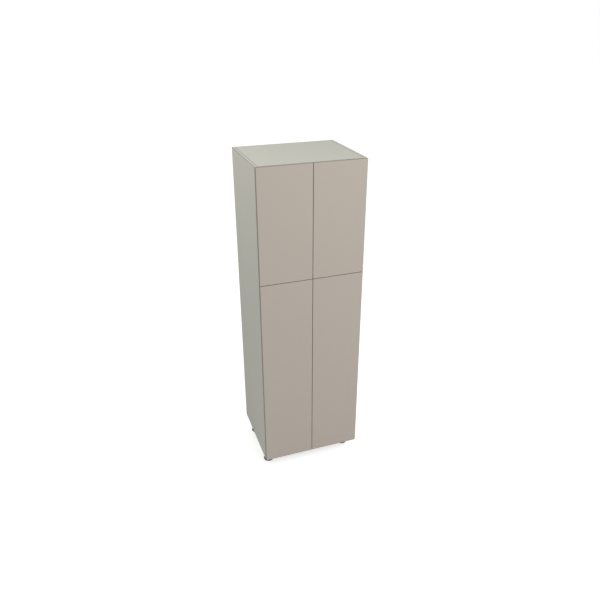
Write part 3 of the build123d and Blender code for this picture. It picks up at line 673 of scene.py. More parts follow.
def circle(x, y, radius, steps=24):
    """The points of a circle."""
    angles = [2 * math.pi * step / steps for step in range(steps)]
    return [(x + radius * math.cos(angle), y + radius * math.sin(angle)) for angle in angles]


def laid(start, across, along):
    """The place of a flat form whose X axis runs across and whose Y axis runs along."""
    up = Vector(across).cross(Vector(along))
    return Matrix.Translation(start) @ Matrix((across, along, up)).transposed().to_4x4()


def hinge_places(node):
    """The places of hinge parts, drawn for a left side panel and turned over for a right one."""
    places = []
    for low, high in solids_of(node):
        side = -1 if low.x < 0 else 1
        turn = 0.0 if side < 0 else math.pi
        places.append(((side * HALF_WIDTH, CARCASS_FRONT, middle(low, high)[2]), (0.0, turn, 0.0)))
    return places


def fit_on_doors(name, form, node, material, slot):
    """Copies of a hinge part on the four doors, one piece for each door."""
    for door in DOORS:
        piece = copies(name + door, form.copy(), hinge_places(node + door), material)
        fit(piece, door + "_door", slot, node + door)
    form.free()


cast_zinc = metal("Cast zinc, nickel finish", CAST_ZINC, 0.36, grain=900.0, clouding=0.16, relief=0.00004)
# On the flange, the first axis runs to the cabinet's inside and the second one down
outer_line = [(-FLANGE_HALF, FLANGE_MOUTH, 0.0012), (-FLANGE_HALF, 0.009, 0.003),
              (WING_X - WING_HALF, WING_TIP, WING_CORNER), (WING_X + WING_HALF, WING_TIP, WING_CORNER),
              (FLANGE_HALF, 0.013, 0.006)]
outer_line += [(x, -y, radius) for x, y, radius in reversed(outer_line)]
mouth_angle = math.asin(FLANGE_MOUTH / POT_INNER)
for step in range(MOUTH_STEPS + 1):
    angle = math.pi + mouth_angle + (2 * math.pi - 2 * mouth_angle) * step / MOUTH_STEPS
    outer_line.append((POT_INNER * math.cos(angle), POT_INNER * math.sin(angle), 0.0))
cup_form = bmesh.new()
join(cup_form, round_edges(prism(rounded(outer_line), 0.0, FLANGE_THICKNESS), CAST_ROUNDING),
     laid((CUP_X, DOOR_BACK_FACE, 0.0), RIGHT, DOWN))
pot_profile = [(0.002, POT_FLOOR - POT_DEPTH), (POT_INNER - 0.0015, POT_FLOOR - POT_DEPTH),
               (POT_INNER - 0.0004, 0.0016 - POT_DEPTH), (POT_INNER, 0.0027 - POT_DEPTH),
               (POT_INNER, FLANGE_THICKNESS * 0.2), (POT_RADIUS, 0.0), (POT_RADIUS, 0.0012 - POT_DEPTH),
               (POT_RADIUS - 0.0005, 0.0003 - POT_DEPTH), (POT_RADIUS - 0.0015, -POT_DEPTH),
               (0.002, -POT_DEPTH)]
pot_form = turned(pot_profile, 48)
pot_form.transform(about((CUP_X, DOOR_BACK_FACE, 0.0), BACK))
# The rim is cut down in the mouth, where the neck of the arm lies over it when the door is open
for vert in pot_form.verts:
    in_mouth = vert.co.x < CUP_X - POT_INNER * 0.9 and abs(vert.co.z) < FLANGE_MOUTH
    if in_mouth and vert.co.y > DOOR_BACK_FACE - POT_RIM_CUT / 2:
        vert.co.y -= POT_RIM_CUT
join(cup_form, pot_form)
cheek_floor = DOOR_BACK_FACE - POT_DEPTH + POT_FLOOR / 2
cheek_line = rounded([(CHEEK_LEFT, cheek_floor, 0.0), (CHEEK_RIGHT, cheek_floor, 0.0),
                      (CHEEK_RIGHT, CHEEK_TOP, 0.0028), (CHEEK_LEFT, CHEEK_TOP, 0.0006)])
for near, far in ((CHEEK_NEAR, CHEEK_FAR), (-CHEEK_FAR, -CHEEK_NEAR)):
    join(cup_form, round_edges(prism(cheek_line, near, far), CAST_ROUNDING))
barb_profile = [(0.0028, -0.009), (0.0034, -0.0082), (0.0039, -0.0068), (0.0034, -0.0066), (0.0039, -0.0046),
                (0.0034, -0.0044), (0.0039, -0.0024), (0.0034, -0.0022), (0.0034, 0.0)]
button_profile = [(0.0036, 0.0010), (0.0036, 0.0013), (0.0032, 0.0016), (0.0019, 0.0016), (0.0012, 0.0012)]
for level in (-PEG_PLACE, PEG_PLACE):
    for profile in (barb_profile, button_profile):
        join(cup_form, turned(profile, 24), about((CUP_X + WING_X, DOOR_BACK_FACE, level), BACK))
fit_on_doors("cast_cups_", cup_form, "hinge_cups_", cast_zinc, "hinge_metal")

# Hinge pins: 2.4 mm hard steel rods with chamfered ends, held by the cheeks of the cups.
# The eye of the arm turns on them.
HINGE_PIN_RADIUS = 0.0012
HINGE_PIN_LENGTH = 0.015
STEEL = (0.50, 0.505, 0.52)
screw_steel = metal("Zinc-plated steel", STEEL, 0.30, grain=2200.0, clouding=0.15)
rod_profile = [(HINGE_PIN_RADIUS - 0.0003, 0.0), (HINGE_PIN_RADIUS, 0.0004),
               (HINGE_PIN_RADIUS, HINGE_PIN_LENGTH - 0.0004), (HINGE_PIN_RADIUS - 0.0003, HINGE_PIN_LENGTH)]
rod_form = turned(rod_profile, 20)
rod_form.transform(Matrix.Translation((PIVOT_X, PIVOT_Y, -HINGE_PIN_LENGTH / 2)))
fit_on_doors("steel_pins_", rod_form, "hinge_pins_", screw_steel, "screw_steel")

# Hinge arms: 1.6 mm steel strip, pressed and nickel plated. An eye is rolled round the pin,
# the gooseneck climbs out of the cup, and the channel behind it straddles the mounting plate.
STRIP = 0.0016
EYE_RADIUS = 0.0021
EYE_BORE = 0.00125
NECK_HALF = 0.0045
NECK_Y = -0.0129
CHANNEL_HALF = 0.0076
CHANNEL_X = 0.0281
ARM_END = 0.060
LIP = 0.0056
NO_LIP = 0.00005
LIP_THICKNESS = 0.0012
WIDTHS = [(-1.0, NECK_HALF), (0.0, NECK_HALF), (0.006, CHANNEL_HALF), (1.0, CHANNEL_HALF)]
LIPS = [(-1.0, NO_LIP), (0.012, NO_LIP), (0.014, LIP * 0.6), (0.018, LIP), (0.054, LIP),
        (0.058, LIP * 0.6), (ARM_END, NO_LIP)]


def stepped(value, table):
    """The size at a value, in straight steps between the (value, size) rows of a table."""
    for (start, size), (end, next_size) in zip(table, table[1:]):
        if value <= end:
            share = max(0.0, (value - start) / (end - start))
            return size + (next_size - size) * share
    return table[-1][1]


arm_line = rounded([(PIVOT_X + 0.0014, NECK_Y, 0.0), (0.0182, NECK_Y, 0.0030), (0.0212, 0.0005, 0.0060),
                    (CHANNEL_X, 0.0060, 0.0050), *((CHANNEL_X, row[0], 0.0) for row in LIPS[1:])], steps=6)
arm_rings = []
for index, point in enumerate(arm_line):
    following = arm_line[min(index + 1, len(arm_line) - 1)]
    direction = (following - arm_line[max(index - 1, 0)]).normalized()
    side = Vector((-direction.y, direction.x))
    half = stepped(point.y, WIDTHS)
    inner = half - LIP_THICKNESS
    face = STRIP / 2
    rim = face + stepped(point.y, LIPS)
    section = [(-face, -half), (-face, half), (rim, half), (rim, inner),
               (face, inner), (face, -inner), (rim, -inner), (rim, -half)]
    arm_rings.append([(point.x + side.x * out, point.y + side.y * out, level) for out, level in section])
arm_form = bmesh.new()
join(arm_form, round_edges(loft(arm_rings), 0.00025, sharp=35.0))
eye_profile = [(EYE_BORE, NECK_HALF), (EYE_BORE, -NECK_HALF),
               (EYE_RADIUS, -NECK_HALF), (EYE_RADIUS, NECK_HALF)]
join(arm_form, turned(eye_profile, 28, closed=True), Matrix.Translation((PIVOT_X, PIVOT_Y, 0.0)))
arm_nickel = metal("Nickel plate, drawn along the arms", NICKEL, 0.24,
                   grain=1800.0, clouding=0.10, stretch=(1.0, 0.12, 1.0))
arm_places = hinge_places("hinge_arms")
fit(copies("gooseneck_arms", arm_form, arm_places, arm_nickel), "carcass", "fitting_steel", "hinge_arms")

# Arm screws: two on the channel of each arm, with pan heads and cross recesses.
# One sets how far the door stands off, the other clamps the arm on its plate.
ARM_SCREW_HEAD = 0.0032
ARM_SCREW_CROWN = 0.0015
ARM_SCREW_PLACES = (0.0245, 0.0455)
THREAD_SHARPNESS = 1.6
TIP_SHARE = 0.08
CROWN_SHARE = 0.16


def thread_ridge(depth, angle, pitch):
    """The height of a winding thread, from 0 to 1, at a depth and an angle on the shank."""
    turns = plus(over(depth, pitch), over(angle, 2 * math.pi))
    across = minus(times(maths("FRACT", turns), 2.0), 1.0)
    return maths("POWER", minus(1.0, maths("ABSOLUTE", across)), THREAD_SHARPNESS)


def turned_bar(tree, length, sides, segments):
    """A bar of radius 1, with its position, depth and angle for a radius to be set."""
    bar = add_node(tree, "GeometryNodeMeshCylinder", {
        "Vertices": sides, "Side Segments": segments, "Radius": 1.0, "Depth": length}, fill_type="NGON")
    position = add_node(tree, "GeometryNodeInputPosition").outputs[0]
    place = add_node(tree, "ShaderNodeSeparateXYZ", {"Vector": position}).outputs
    depth = minus(over(length, 2.0), place["Z"])
    return bar.outputs["Mesh"], place, depth, maths("ARCTAN2", place["Y"], place["X"])


def set_reach(mesh, place, depth, reach):
    """Gives a bar its radius at every point, and hangs it down from the origin."""
    spot = add_node(mesh.id_data, "ShaderNodeCombineXYZ", {
        "X": times(place["X"], reach), "Y": times(place["Y"], reach), "Z": times(depth, -1.0)})
    moved = add_node(mesh.id_data, "GeometryNodeSetPosition", {
        "Geometry": mesh, "Position": spot.outputs["Vector"]})
    return moved.outputs["Geometry"]


# A screw down from its head: the head narrows to the shank at once or, with a high power, late
screw_tree, screw_in, screw_out = node_group(
    "Cross-recessed screws",
    [("Places", "Geometry", None), ("Head Radius", "Float", 0.004), ("Head Depth", "Float", 0.002),
     ("Head Power", "Float", 1.0), ("Crown", "Float", 0.0001), ("Shank Radius", "Float", 0.002),
     ("Length", "Float", 0.016), ("Thread Pitch", "Float", 0.0016), ("Thread Height", "Float", 0.0005),
     ("Point Length", "Float", 0.004), ("Recess Reach", "Float", 0.002), ("Recess Width", "Float", 0.0007),
     ("Recess Depth", "Float", 0.0012), ("Finish", "Material", None)],
    [("Geometry", "Geometry")],
    "GeometryNodeTree",
)
bar, bar_place, depth, angle = turned_bar(screw_tree, screw_in["Length"], sides=20, segments=72)
ridge = thread_ridge(depth, angle, screw_in["Thread Pitch"])
threaded = maths("GREATER_THAN", depth, plus(screw_in["Head Depth"], screw_in["Thread Pitch"]))
valley = times(minus(1.0, ridge), screw_in["Thread Height"])
shank = minus(screw_in["Shank Radius"], times(threaded, valley))
down_head = maths("DIVIDE", depth, screw_in["Head Depth"], clamp=True)
narrowing = maths("POWER", down_head, screw_in["Head Power"])
head = times(minus(screw_in["Head Radius"], screw_in["Shank Radius"]), minus(1.0, narrowing))
flatness = minus(1.0, maths("DIVIDE", depth, screw_in["Crown"], clamp=True))
crowned = minus(1.0, times(times(flatness, flatness), CROWN_SHARE))
to_tip = minus(screw_in["Length"], depth)
taper = maths("MINIMUM", 1.0, plus(over(to_tip, screw_in["Point Length"]), TIP_SHARE))
reach = times(times(plus(shank, head), crowned), taper)
shaft = set_reach(bar, bar_place, depth, reach)
recessed = add_node(screw_tree, "GeometryNodeMeshBoolean", {"Mesh 1": shaft},
                    operation="DIFFERENCE", solver="EXACT")
for long_axis, short_axis in (("X", "Y"), ("Y", "X")):
    slot_size = add_node(screw_tree, "ShaderNodeCombineXYZ", {
        long_axis: times(screw_in["Recess Reach"], 2.0), short_axis: screw_in["Recess Width"],
        "Z": times(screw_in["Recess Depth"], 2.0)})
    cutter = add_node(screw_tree, "GeometryNodeMeshCube", {"Size": slot_size.outputs["Vector"]})
    feed(recessed.inputs["Mesh 2"], cutter.outputs["Mesh"])
end_with_copies(screw_tree, screw_in, screw_out, recessed.outputs["Mesh"])


def side_screw_places(places, out, offsets):
    """Places of screws driven outwards into the sides, (back, up) from the places of hinge parts."""
    spots = []
    for (x, y, level), turn in places:
        inward = 1 if x < 0 else -1
        for back, up in offsets:
            spots.append(((x + inward * out, y + back, level + up), (0.0, inward * math.pi / 2, 0.0)))
    return spots


def fit_screws(name, places, *nodes, **sizes):
    """Steel screws at (point, turn) places of their heads, fitted in the carcass."""
    fit(run_tree(name, screw_tree, places, Finish=screw_steel, **sizes), "carcass", "screw_steel", *nodes)


arm_screw_places = side_screw_places(
    arm_places, CHANNEL_X + STRIP / 2 + ARM_SCREW_CROWN, [(back, 0.0) for back in ARM_SCREW_PLACES])
fit_screws(
    "arm_screws", arm_screw_places, Head_Radius=ARM_SCREW_HEAD, Head_Depth=ARM_SCREW_CROWN,
    Head_Power=14.0, Crown=0.0007, Shank_Radius=0.0018, Length=0.0065, Thread_Pitch=0.0007,
    Thread_Height=0.0002, Point_Length=0.001, Recess_Reach=0.0018, Recess_Width=0.0007, Recess_Depth=0.0010)

# Mounting plates: cast cross plates screwed to the side panels on the 32 mm drilling.
# A block under the arm carries it, and two wings take the screws.
PLATE_X = 0.019
PLATE_THICKNESS = 0.0018
PLATE_SETBACK = 0.037
PLATE_WING_HALF = 0.006
PLATE_TIP = 0.022
PLATE_CORNER = 0.003
PLATE_SCREW_OFFSET = 0.016
PLATE_SHANK = 0.0025
SCREW_HEAD = 0.004
SCREW_PLAY = 0.0001
HOLE_SHARPNESS = 60.0
BLOCK_START = 0.018
BLOCK_END = 0.058
BLOCK_HEIGHT = 0.0083
BLOCK_NOSE = 0.004
BLOCK_HALF = 0.0063


def screw_hole(x, y, shank):
    """A countersunk hole with a little play, as its lines at the lower and at the upper face."""
    return circle(x, y, shank + SCREW_PLAY), circle(x, y, SCREW_HEAD + SCREW_PLAY)


wing_near = PLATE_SETBACK - PLATE_WING_HALF
wing_far = PLATE_SETBACK + PLATE_WING_HALF
plate_line = rounded([(wing_near, PLATE_TIP, PLATE_CORNER), (wing_far, PLATE_TIP, PLATE_CORNER),
                      (wing_far, -PLATE_TIP, PLATE_CORNER), (wing_near, -PLATE_TIP, PLATE_CORNER)])
plate_holes = [screw_hole(PLATE_SETBACK, offset, PLATE_SHANK)
               for offset in (-PLATE_SCREW_OFFSET, PLATE_SCREW_OFFSET)]
block_line = rounded([(BLOCK_START, 0.0, 0.0), (BLOCK_END, 0.0, 0.0), (BLOCK_END, BLOCK_HEIGHT, 0.0012),
                      (BLOCK_START + BLOCK_HEIGHT, BLOCK_HEIGHT, 0.003), (BLOCK_START, BLOCK_NOSE, 0.001)])
wings = prism(plate_line, 0.0, PLATE_THICKNESS, plate_holes)
plate_form = bmesh.new()
join(plate_form, round_edges(wings, 0.0002, 1, HOLE_SHARPNESS), laid((PLATE_X, 0.0, 0.0), BACK, UP))
join(plate_form, round_edges(prism(block_line, -BLOCK_HALF, BLOCK_HALF), 0.0005),
     laid((PLATE_X, 0.0, 0.0), BACK, RIGHT))
plate_places = hinge_places("mounting_plates")
fit(copies("cross_plates", plate_form, plate_places, cast_zinc),
    "carcass", "fitting_steel", "mounting_plates")

# Plate screws: countersunk, zinc plated, 16 mm long, with a cross recess.
# Two hold each mounting plate, flush in its wings, and bite into the side panel's core.
SCREW_LENGTH = 0.016
plate_screw_places = side_screw_places(
    plate_places, PLATE_X + PLATE_THICKNESS,
    [(PLATE_SETBACK, -PLATE_SCREW_OFFSET), (PLATE_SETBACK, PLATE_SCREW_OFFSET)])
fit_screws(
    "countersunk_plate_screws", plate_screw_places, "plate_screws", Head_Radius=SCREW_HEAD,
    Head_Depth=PLATE_THICKNESS, Shank_Radius=PLATE_SHANK, Length=SCREW_LENGTH, Recess_Reach=0.0022)

# Push latches: moulded housings with two screw ears, under the top panel and the fixed shelf.
# A square channel guides the plunger, which pushes its door open when the door is pressed.
LATCH_X = 0.045
LATCH_HALF = 0.008
LATCH_HEIGHT = 0.015
LATCH_LENGTH = 0.066
LATCH_SLOPE = 0.004
LATCH_CORNER = 0.0015
EAR_HALF = 0.017
EAR_LENGTH = 0.014
EAR_CORNER = 0.003
EAR_THICKNESS = 0.0025
EAR_SCREW = 0.0125
SMALL_SHANK = 0.002
CHANNEL_SQUARE = 0.00365
CHANNEL_DEPTH = 0.052
BEZEL_SQUARE = 0.0056
GRIP_STARTS = (0.006, 0.0475)
GRIP_COUNT = 5
GRIP_PITCH = 0.0026
GRIP_WIDTH = 0.0012
GRIP_PROUD = 0.0005
LATCH_GREY = (0.235, 0.235, 0.225)
CEILINGS = [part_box("top_panel")[0].z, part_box("fixed_shelf")[0].z]
LATCH_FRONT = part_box("push_latches")[0].y
NO_TURN = (0.0, 0.0, 0.0)

# Moulded plastic: an even tone, the fine stipple of the mould and a faint flow across it
moulded_plastic, moulded_in, moulded_out = node_group(
    "Moulded plastic",
    [("Vector", "Vector", None), ("Colour", "Color", (0.2, 0.2, 0.2, 1.0)), ("Gloss", "Float", 0.45)],
    SURFACE_OUTPUTS,
)
flow = noise(moulded_in["Vector"], 35.0)
stipple = noise(moulded_in["Vector"], 1800.0, 2.0, 0.6)
feed(moulded_out["Colour"], toned(moulded_in["Colour"], plus(swing(flow, 0.10), swing(stipple, 0.08))))
feed(moulded_out["Roughness"], plus(moulded_in["Gloss"], swing(stipple, 0.25)))
feed(moulded_out["Height"], stipple)


def plastic(name, colour, gloss):
    """A moulded plastic in a colour."""
    material, shader, place = new_finish(name, gloss)
    link_surface(shader, surface_of(moulded_plastic, place, Colour=colour, Gloss=gloss), 0.00005)
    return material


def square(half, corner=0.0, steps=3):
    """A square line about the origin, its corners rounded."""
    return rounded([(-half, -half, corner), (half, -half, corner),
                    (half, half, corner), (-half, half, corner)], steps)


latch_plastic = plastic("Latch plastic", LATCH_GREY, 0.42)
# The housing is drawn in its section, from the middle of the channel, and runs back from the front
latch_middle = LATCH_HEIGHT / 2
shoulder = LATCH_SLOPE - latch_middle
sole_half = LATCH_HALF - LATCH_SLOPE
housing_line = rounded([(-LATCH_HALF, latch_middle, 0.0), (-LATCH_HALF, shoulder, LATCH_CORNER),
                        (-sole_half, -latch_middle, LATCH_CORNER), (sole_half, -latch_middle, LATCH_CORNER),
                        (LATCH_HALF, shoulder, LATCH_CORNER), (LATCH_HALF, latch_middle, 0.0)])
channel_line = square(CHANNEL_SQUARE)
channel_hole = [(channel_line, channel_line)]
into_cabinet = laid((0.0, 0.0, -latch_middle), RIGHT, UP)
latch_form = bmesh.new()
join(latch_form, prism(housing_line, -CHANNEL_DEPTH, 0.0, channel_hole), into_cabinet)
join(latch_form, prism(housing_line, -LATCH_LENGTH, -CHANNEL_DEPTH), into_cabinet)
bezel = prism(square(BEZEL_SQUARE, 0.0012), -0.001, 0.0008, channel_hole)
join(latch_form, round_edges(bezel, CAST_ROUNDING), into_cabinet)
for start in GRIP_STARTS:
    for step in range(GRIP_COUNT):
        front = start + step * GRIP_PITCH
        rib = block((-LATCH_HALF - GRIP_PROUD, front, LATCH_SLOPE - LATCH_HEIGHT + 0.0012),
                    (LATCH_HALF + GRIP_PROUD, front + GRIP_WIDTH, -0.0032))
        join(latch_form, round_edges(rib, CAST_ROUNDING))
ear_line = rounded([(-EAR_HALF, -EAR_LENGTH / 2, EAR_CORNER), (EAR_HALF, -EAR_LENGTH / 2, EAR_CORNER),
                    (EAR_HALF, EAR_LENGTH / 2, EAR_CORNER), (-EAR_HALF, EAR_LENGTH / 2, EAR_CORNER)])
ear_holes = [screw_hole(x, 0.0, SMALL_SHANK)[::-1] for x in (-EAR_SCREW, EAR_SCREW)]
ears = prism(ear_line, -EAR_THICKNESS, 0.0, ear_holes)
join(latch_form, round_edges(ears, CAST_ROUNDING, 1, HOLE_SHARPNESS),
     Matrix.Translation((0.0, LATCH_LENGTH / 2, 0.0)))
latch_places = [((side * LATCH_X, LATCH_FRONT, ceiling), NO_TURN)
                for ceiling in CEILINGS for side in (-1, 1)]
fit(copies("latch_housings", latch_form, latch_places, latch_plastic),
    "carcass", "latch_plastic", "push_latches")

# Latch plungers: square plastic stems with a round head, which slide in the housings.
# A small magnet let into the head holds the door shut against the housing's spring.
PLUNGER_HEAD = 0.005
PLUNGER_HEAD_LENGTH = 0.0015
PLUNGER_LENGTH = 0.052
PLUNGER_STEM_HALF = 0.0035
MAGNET_RADIUS = 0.0036
PLUNGER_GREY = (0.52, 0.52, 0.50)
MAGNET_METAL = (0.42, 0.42, 0.43)
plunger_plastic = plastic("Plunger plastic", PLUNGER_GREY, 0.35)
magnet_metal = metal("Magnet, nickel plated", MAGNET_METAL, 0.22, grain=2600.0, clouding=0.2)
head_profile = [(MAGNET_RADIUS - 0.0002, 0.0006), (MAGNET_RADIUS, 0.0001), (MAGNET_RADIUS + 0.0003, 0.0),
                (PLUNGER_HEAD - 0.0003, 0.0), (PLUNGER_HEAD, 0.0003), (PLUNGER_HEAD, 0.0012),
                (PLUNGER_HEAD - 0.0003, PLUNGER_HEAD_LENGTH)]
magnet_profile = [(0.0012, 0.0002), (MAGNET_RADIUS - 0.0008, 0.0002), (MAGNET_RADIUS - 0.0004, 0.0006),
                  (MAGNET_RADIUS - 0.0005, 0.0010)]


def front_middle(node):
    """The middle of the front face of a CAD node."""
    low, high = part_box(node)
    x, y, z = middle(low, high)
    return x, low.y, z


for door in DOORS:
    start = front_middle("latch_plunger_" + door)
    stem = prism(square(PLUNGER_STEM_HALF, 0.0006), -PLUNGER_LENGTH, -PLUNGER_HEAD_LENGTH + 0.0002)
    form = bmesh.new()
    join(form, turned(head_profile, 32), about(start, BACK))
    join(form, stem, laid(start, RIGHT, UP))
    fit(new_piece("plunger_" + door, form, plunger_plastic), door + "_plunger", "plunger_plastic",
        "latch_plunger_" + door)
    magnet = turned(magnet_profile, 32)
    magnet.transform(about(start, BACK))
    fit(new_piece("magnet_" + door, magnet, magnet_metal), door + "_plunger", "fitting_steel")

# Strike plates: thin discs stamped from steel, with a shallow groove pressed round the face.
# They are stuck to the backs of the doors, where the magnets meet them.
STRIKE_RADIUS = 0.0075
STRIKE_THICKNESS = 0.001
STRIKE_STEEL = (0.55, 0.55, 0.56)
strike_steel = metal("Strike steel", STRIKE_STEEL, 0.32, grain=2000.0, clouding=0.12)
strike_profile = [(STRIKE_RADIUS - 0.0002, 0.0), (STRIKE_RADIUS, 0.0002), (STRIKE_RADIUS, 0.0006),
                  (STRIKE_RADIUS - 0.0003, STRIKE_THICKNESS), (0.0063, STRIKE_THICKNESS), (0.0060, 0.0008),
                  (0.0056, 0.0008), (0.0053, STRIKE_THICKNESS), (0.001, STRIKE_THICKNESS)]
for door in DOORS:
    disc = turned(strike_profile, 40)
    disc.transform(about(front_middle("strike_plate_" + door), BACK))
    fit(new_piece("strike_disc_" + door, disc, strike_steel), door + "_door", "fitting_steel",
        "strike_plate_" + door)

# Latch screws: countersunk, zinc plated and 16 mm long, two in the ears of each latch.
# They are driven up into the panel or the shelf above.
latch_screw_places = [((x + offset, y + LATCH_LENGTH / 2, z - EAR_THICKNESS), (math.pi, 0.0, 0.0))
                      for (x, y, z), turn in latch_places for offset in (-EAR_SCREW, EAR_SCREW)]
fit_screws(
    "countersunk_latch_screws", latch_screw_places, "latch_screws", Head_Radius=SCREW_HEAD,
    Head_Depth=EAR_THICKNESS, Shank_Radius=SMALL_SHANK, Length=SCREW_LENGTH)

# Leg sockets: moulded plates screwed under the bottom panel, with a locating peg above.
# Eight ribs brace the round socket that the leg's tube is pushed into.
SOCKET_HALF = 0.044
SOCKET_CORNER = 0.014
SOCKET_PLATE = 0.004
SOCKET_DEPTH = 0.032
SOCKET_BORE = 0.01605
SOCKET_BARREL = 0.01955
SOCKET_PEG = 0.006
SOCKET_PEG_LENGTH = 0.010
SOCKET_SCREW = 0.033
RIB_COUNT = 8
RIB_HALF = 0.0012
RIB_REACH = 0.040
LEG_BLACK = (0.040, 0.041, 0.040)
LEGS = [name.removeprefix("foot_") for name in sorted(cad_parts) if name.startswith("foot_")]


def leg_place(leg):
    """Where a leg's axis meets the floor."""
    return middle(*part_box("foot_" + leg))[:2]


def join_ring(shell, name, form, count, material):
    """Adds copies of a form round the Z axis. It is drawn with its Y axis up."""
    form.transform(laid((0.0, 0.0, 0.0), RIGHT, UP))
    turns = [((0.0, 0.0, 0.0), (0.0, 0.0, 2 * math.pi * step / count)) for step in range(count)]
    ring = copies(name, form, turns, material)
    shell.from_mesh(ring.data)
    bpy.data.objects.remove(ring)


leg_plastic = plastic("Leg plastic", LEG_BLACK, 0.45)
screw_spots = [(SOCKET_SCREW, -SOCKET_SCREW), (-SOCKET_SCREW, SOCKET_SCREW)]
socket_holes = [screw_hole(x, y, SMALL_SHANK)[::-1] for x, y in screw_spots]
socket_plate = prism(square(SOCKET_HALF, SOCKET_CORNER, steps=6), -SOCKET_PLATE, 0.0, socket_holes)
socket_form = bmesh.new()
join(socket_form, round_edges(socket_plate, 0.0004, 1, HOLE_SHARPNESS))
barrel_profile = [(SOCKET_BORE, -SOCKET_PLATE), (SOCKET_BORE, 0.0006 - SOCKET_DEPTH),
                  (SOCKET_BORE + 0.0006, -SOCKET_DEPTH), (SOCKET_BARREL - 0.0006, -SOCKET_DEPTH),
                  (SOCKET_BARREL, 0.0006 - SOCKET_DEPTH), (SOCKET_BARREL, -SOCKET_PLATE)]
join(socket_form, turned(barrel_profile, 48, closed=True))
locator_profile = [(SOCKET_PEG, 0.0), (SOCKET_PEG, SOCKET_PEG_LENGTH - 0.0008),
                   (SOCKET_PEG - 0.0008, SOCKET_PEG_LENGTH)]
join(socket_form, turned(locator_profile, 24))
rib_line = [(SOCKET_BARREL - 0.0005, -SOCKET_PLATE + 0.0005), (RIB_REACH, -SOCKET_PLATE + 0.0005),
            (RIB_REACH, -SOCKET_PLATE - 0.0005), (SOCKET_BARREL, 0.004 - SOCKET_DEPTH),
            (SOCKET_BARREL - 0.0005, 0.004 - SOCKET_DEPTH)]
rib_form = round_edges(prism(rib_line, -RIB_HALF, RIB_HALF), CAST_ROUNDING)
join_ring(socket_form, "socket_ribs", rib_form, RIB_COUNT, leg_plastic)
bottom_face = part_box("bottom_panel")[0].z
socket_places = []
for leg in LEGS:
    x, y = leg_place(leg)
    socket_places.append(((x, y, bottom_face), (0.0, 0.0, 0.0 if x > 0 else -math.pi / 2)))
fit(copies("ribbed_sockets", socket_form, socket_places, leg_plastic),
    "carcass", "leg_plastic", "leg_sockets")

# Leg tubes: moulded round tubes, pushed up into the sockets and bored for the feet's stems.
# A knurled collar at the lower end is turned by hand to level the cabinet.
TUBE_RADIUS = 0.0159
TUBE_BORE = 0.0073
TUBE_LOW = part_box("leg_tubes")[0].z
TUBE_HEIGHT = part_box("leg_tubes")[1].z - TUBE_LOW
COLLAR_RADIUS = TUBE_RADIUS - 0.0006
NECK_RADIUS = TUBE_RADIUS - 0.0016
UPPER_RADIUS = TUBE_RADIUS - 0.0004
COLLAR_HEIGHT = 0.012
KNURLS = 24
KNURL_ROOT = TUBE_RADIUS - 0.0008
KNURL_HALF = 0.0009
tube_profile = [(TUBE_BORE, 0.0), (TUBE_BORE + 0.0006, 0.0), (TUBE_RADIUS - 0.0012, 0.0),
                (COLLAR_RADIUS, 0.0006), (COLLAR_RADIUS, COLLAR_HEIGHT),
                (NECK_RADIUS, COLLAR_HEIGHT + 0.0008), (NECK_RADIUS, COLLAR_HEIGHT + 0.0022),
                (UPPER_RADIUS, COLLAR_HEIGHT + 0.0030), (UPPER_RADIUS, TUBE_HEIGHT - 0.0006),
                (TUBE_RADIUS - 0.0010, TUBE_HEIGHT), (TUBE_BORE, TUBE_HEIGHT)]
tube_form = turned(tube_profile, 64, closed=True)
knurl_line = [(KNURL_ROOT, 0.0008), (TUBE_RADIUS, 0.0014), (TUBE_RADIUS, COLLAR_HEIGHT - 0.0014),
              (KNURL_ROOT, COLLAR_HEIGHT - 0.0008)]
join_ring(tube_form, "collar_knurls", prism(knurl_line, -KNURL_HALF, KNURL_HALF), KNURLS, leg_plastic)
tube_places = [((*leg_place(leg), TUBE_LOW), NO_TURN) for leg in LEGS]
fit(copies("collared_tubes", tube_form, tube_places, leg_plastic), "carcass", "leg_plastic", "leg_tubes")

# Leg screws: countersunk, zinc plated and 16 mm long, two for each socket.
# They are driven up through its plate into the bottom panel.
leg_screw_places = []
for (x, y, level), turn in socket_places:
    outward = SOCKET_SCREW if x > 0 else -SOCKET_SCREW
    for across, along in ((outward, -SOCKET_SCREW), (-outward, SOCKET_SCREW)):
        leg_screw_places.append(((x + across, y + along, level - SOCKET_PLATE), (math.pi, 0.0, 0.0)))
fit_screws(
    "countersunk_leg_screws", leg_screw_places, "leg_screws", Head_Radius=SCREW_HEAD,
    Head_Depth=SOCKET_PLATE, Shank_Radius=SMALL_SHANK, Length=SCREW_LENGTH)

# Feet: dark grey moulded pads with a rounded rim and a flat sole, each on a threaded stem.
# The stem screws up into the leg's tube, and the foot rises and sinks to level the cabinet.
PAD_RADIUS = 0.0395
PAD_RIM = 0.0076
RIM_STEPS = 12
PAD_HEIGHT = 0.016
NECK_TOP = PAD_HEIGHT + 0.0006
STEM_RADIUS = 0.007
STEM_PITCH = 0.0025
STEM_THREAD = 0.0009
STEM_TIP_SHARE = 0.85
FOOT_GREY = (0.106, 0.106, 0.101)
foot_plastic = plastic("Foot plastic", FOOT_GREY, 0.5)
rim_centre = PAD_RADIUS - PAD_RIM
pad_profile = [(rim_centre, 0.0)]
for step in range(1, RIM_STEPS + 1):
    angle = math.pi * step / RIM_STEPS - math.pi / 2
    pad_profile.append((rim_centre + PAD_RIM * math.cos(angle), PAD_RIM + PAD_RIM * math.sin(angle)))
pad_profile += [(0.0230, 0.0148), (0.0130, 0.0154), (0.0105, 0.0156), (0.0098, 0.0158),
                (0.0094, NECK_TOP), (STEM_RADIUS - 0.001, NECK_TOP)]

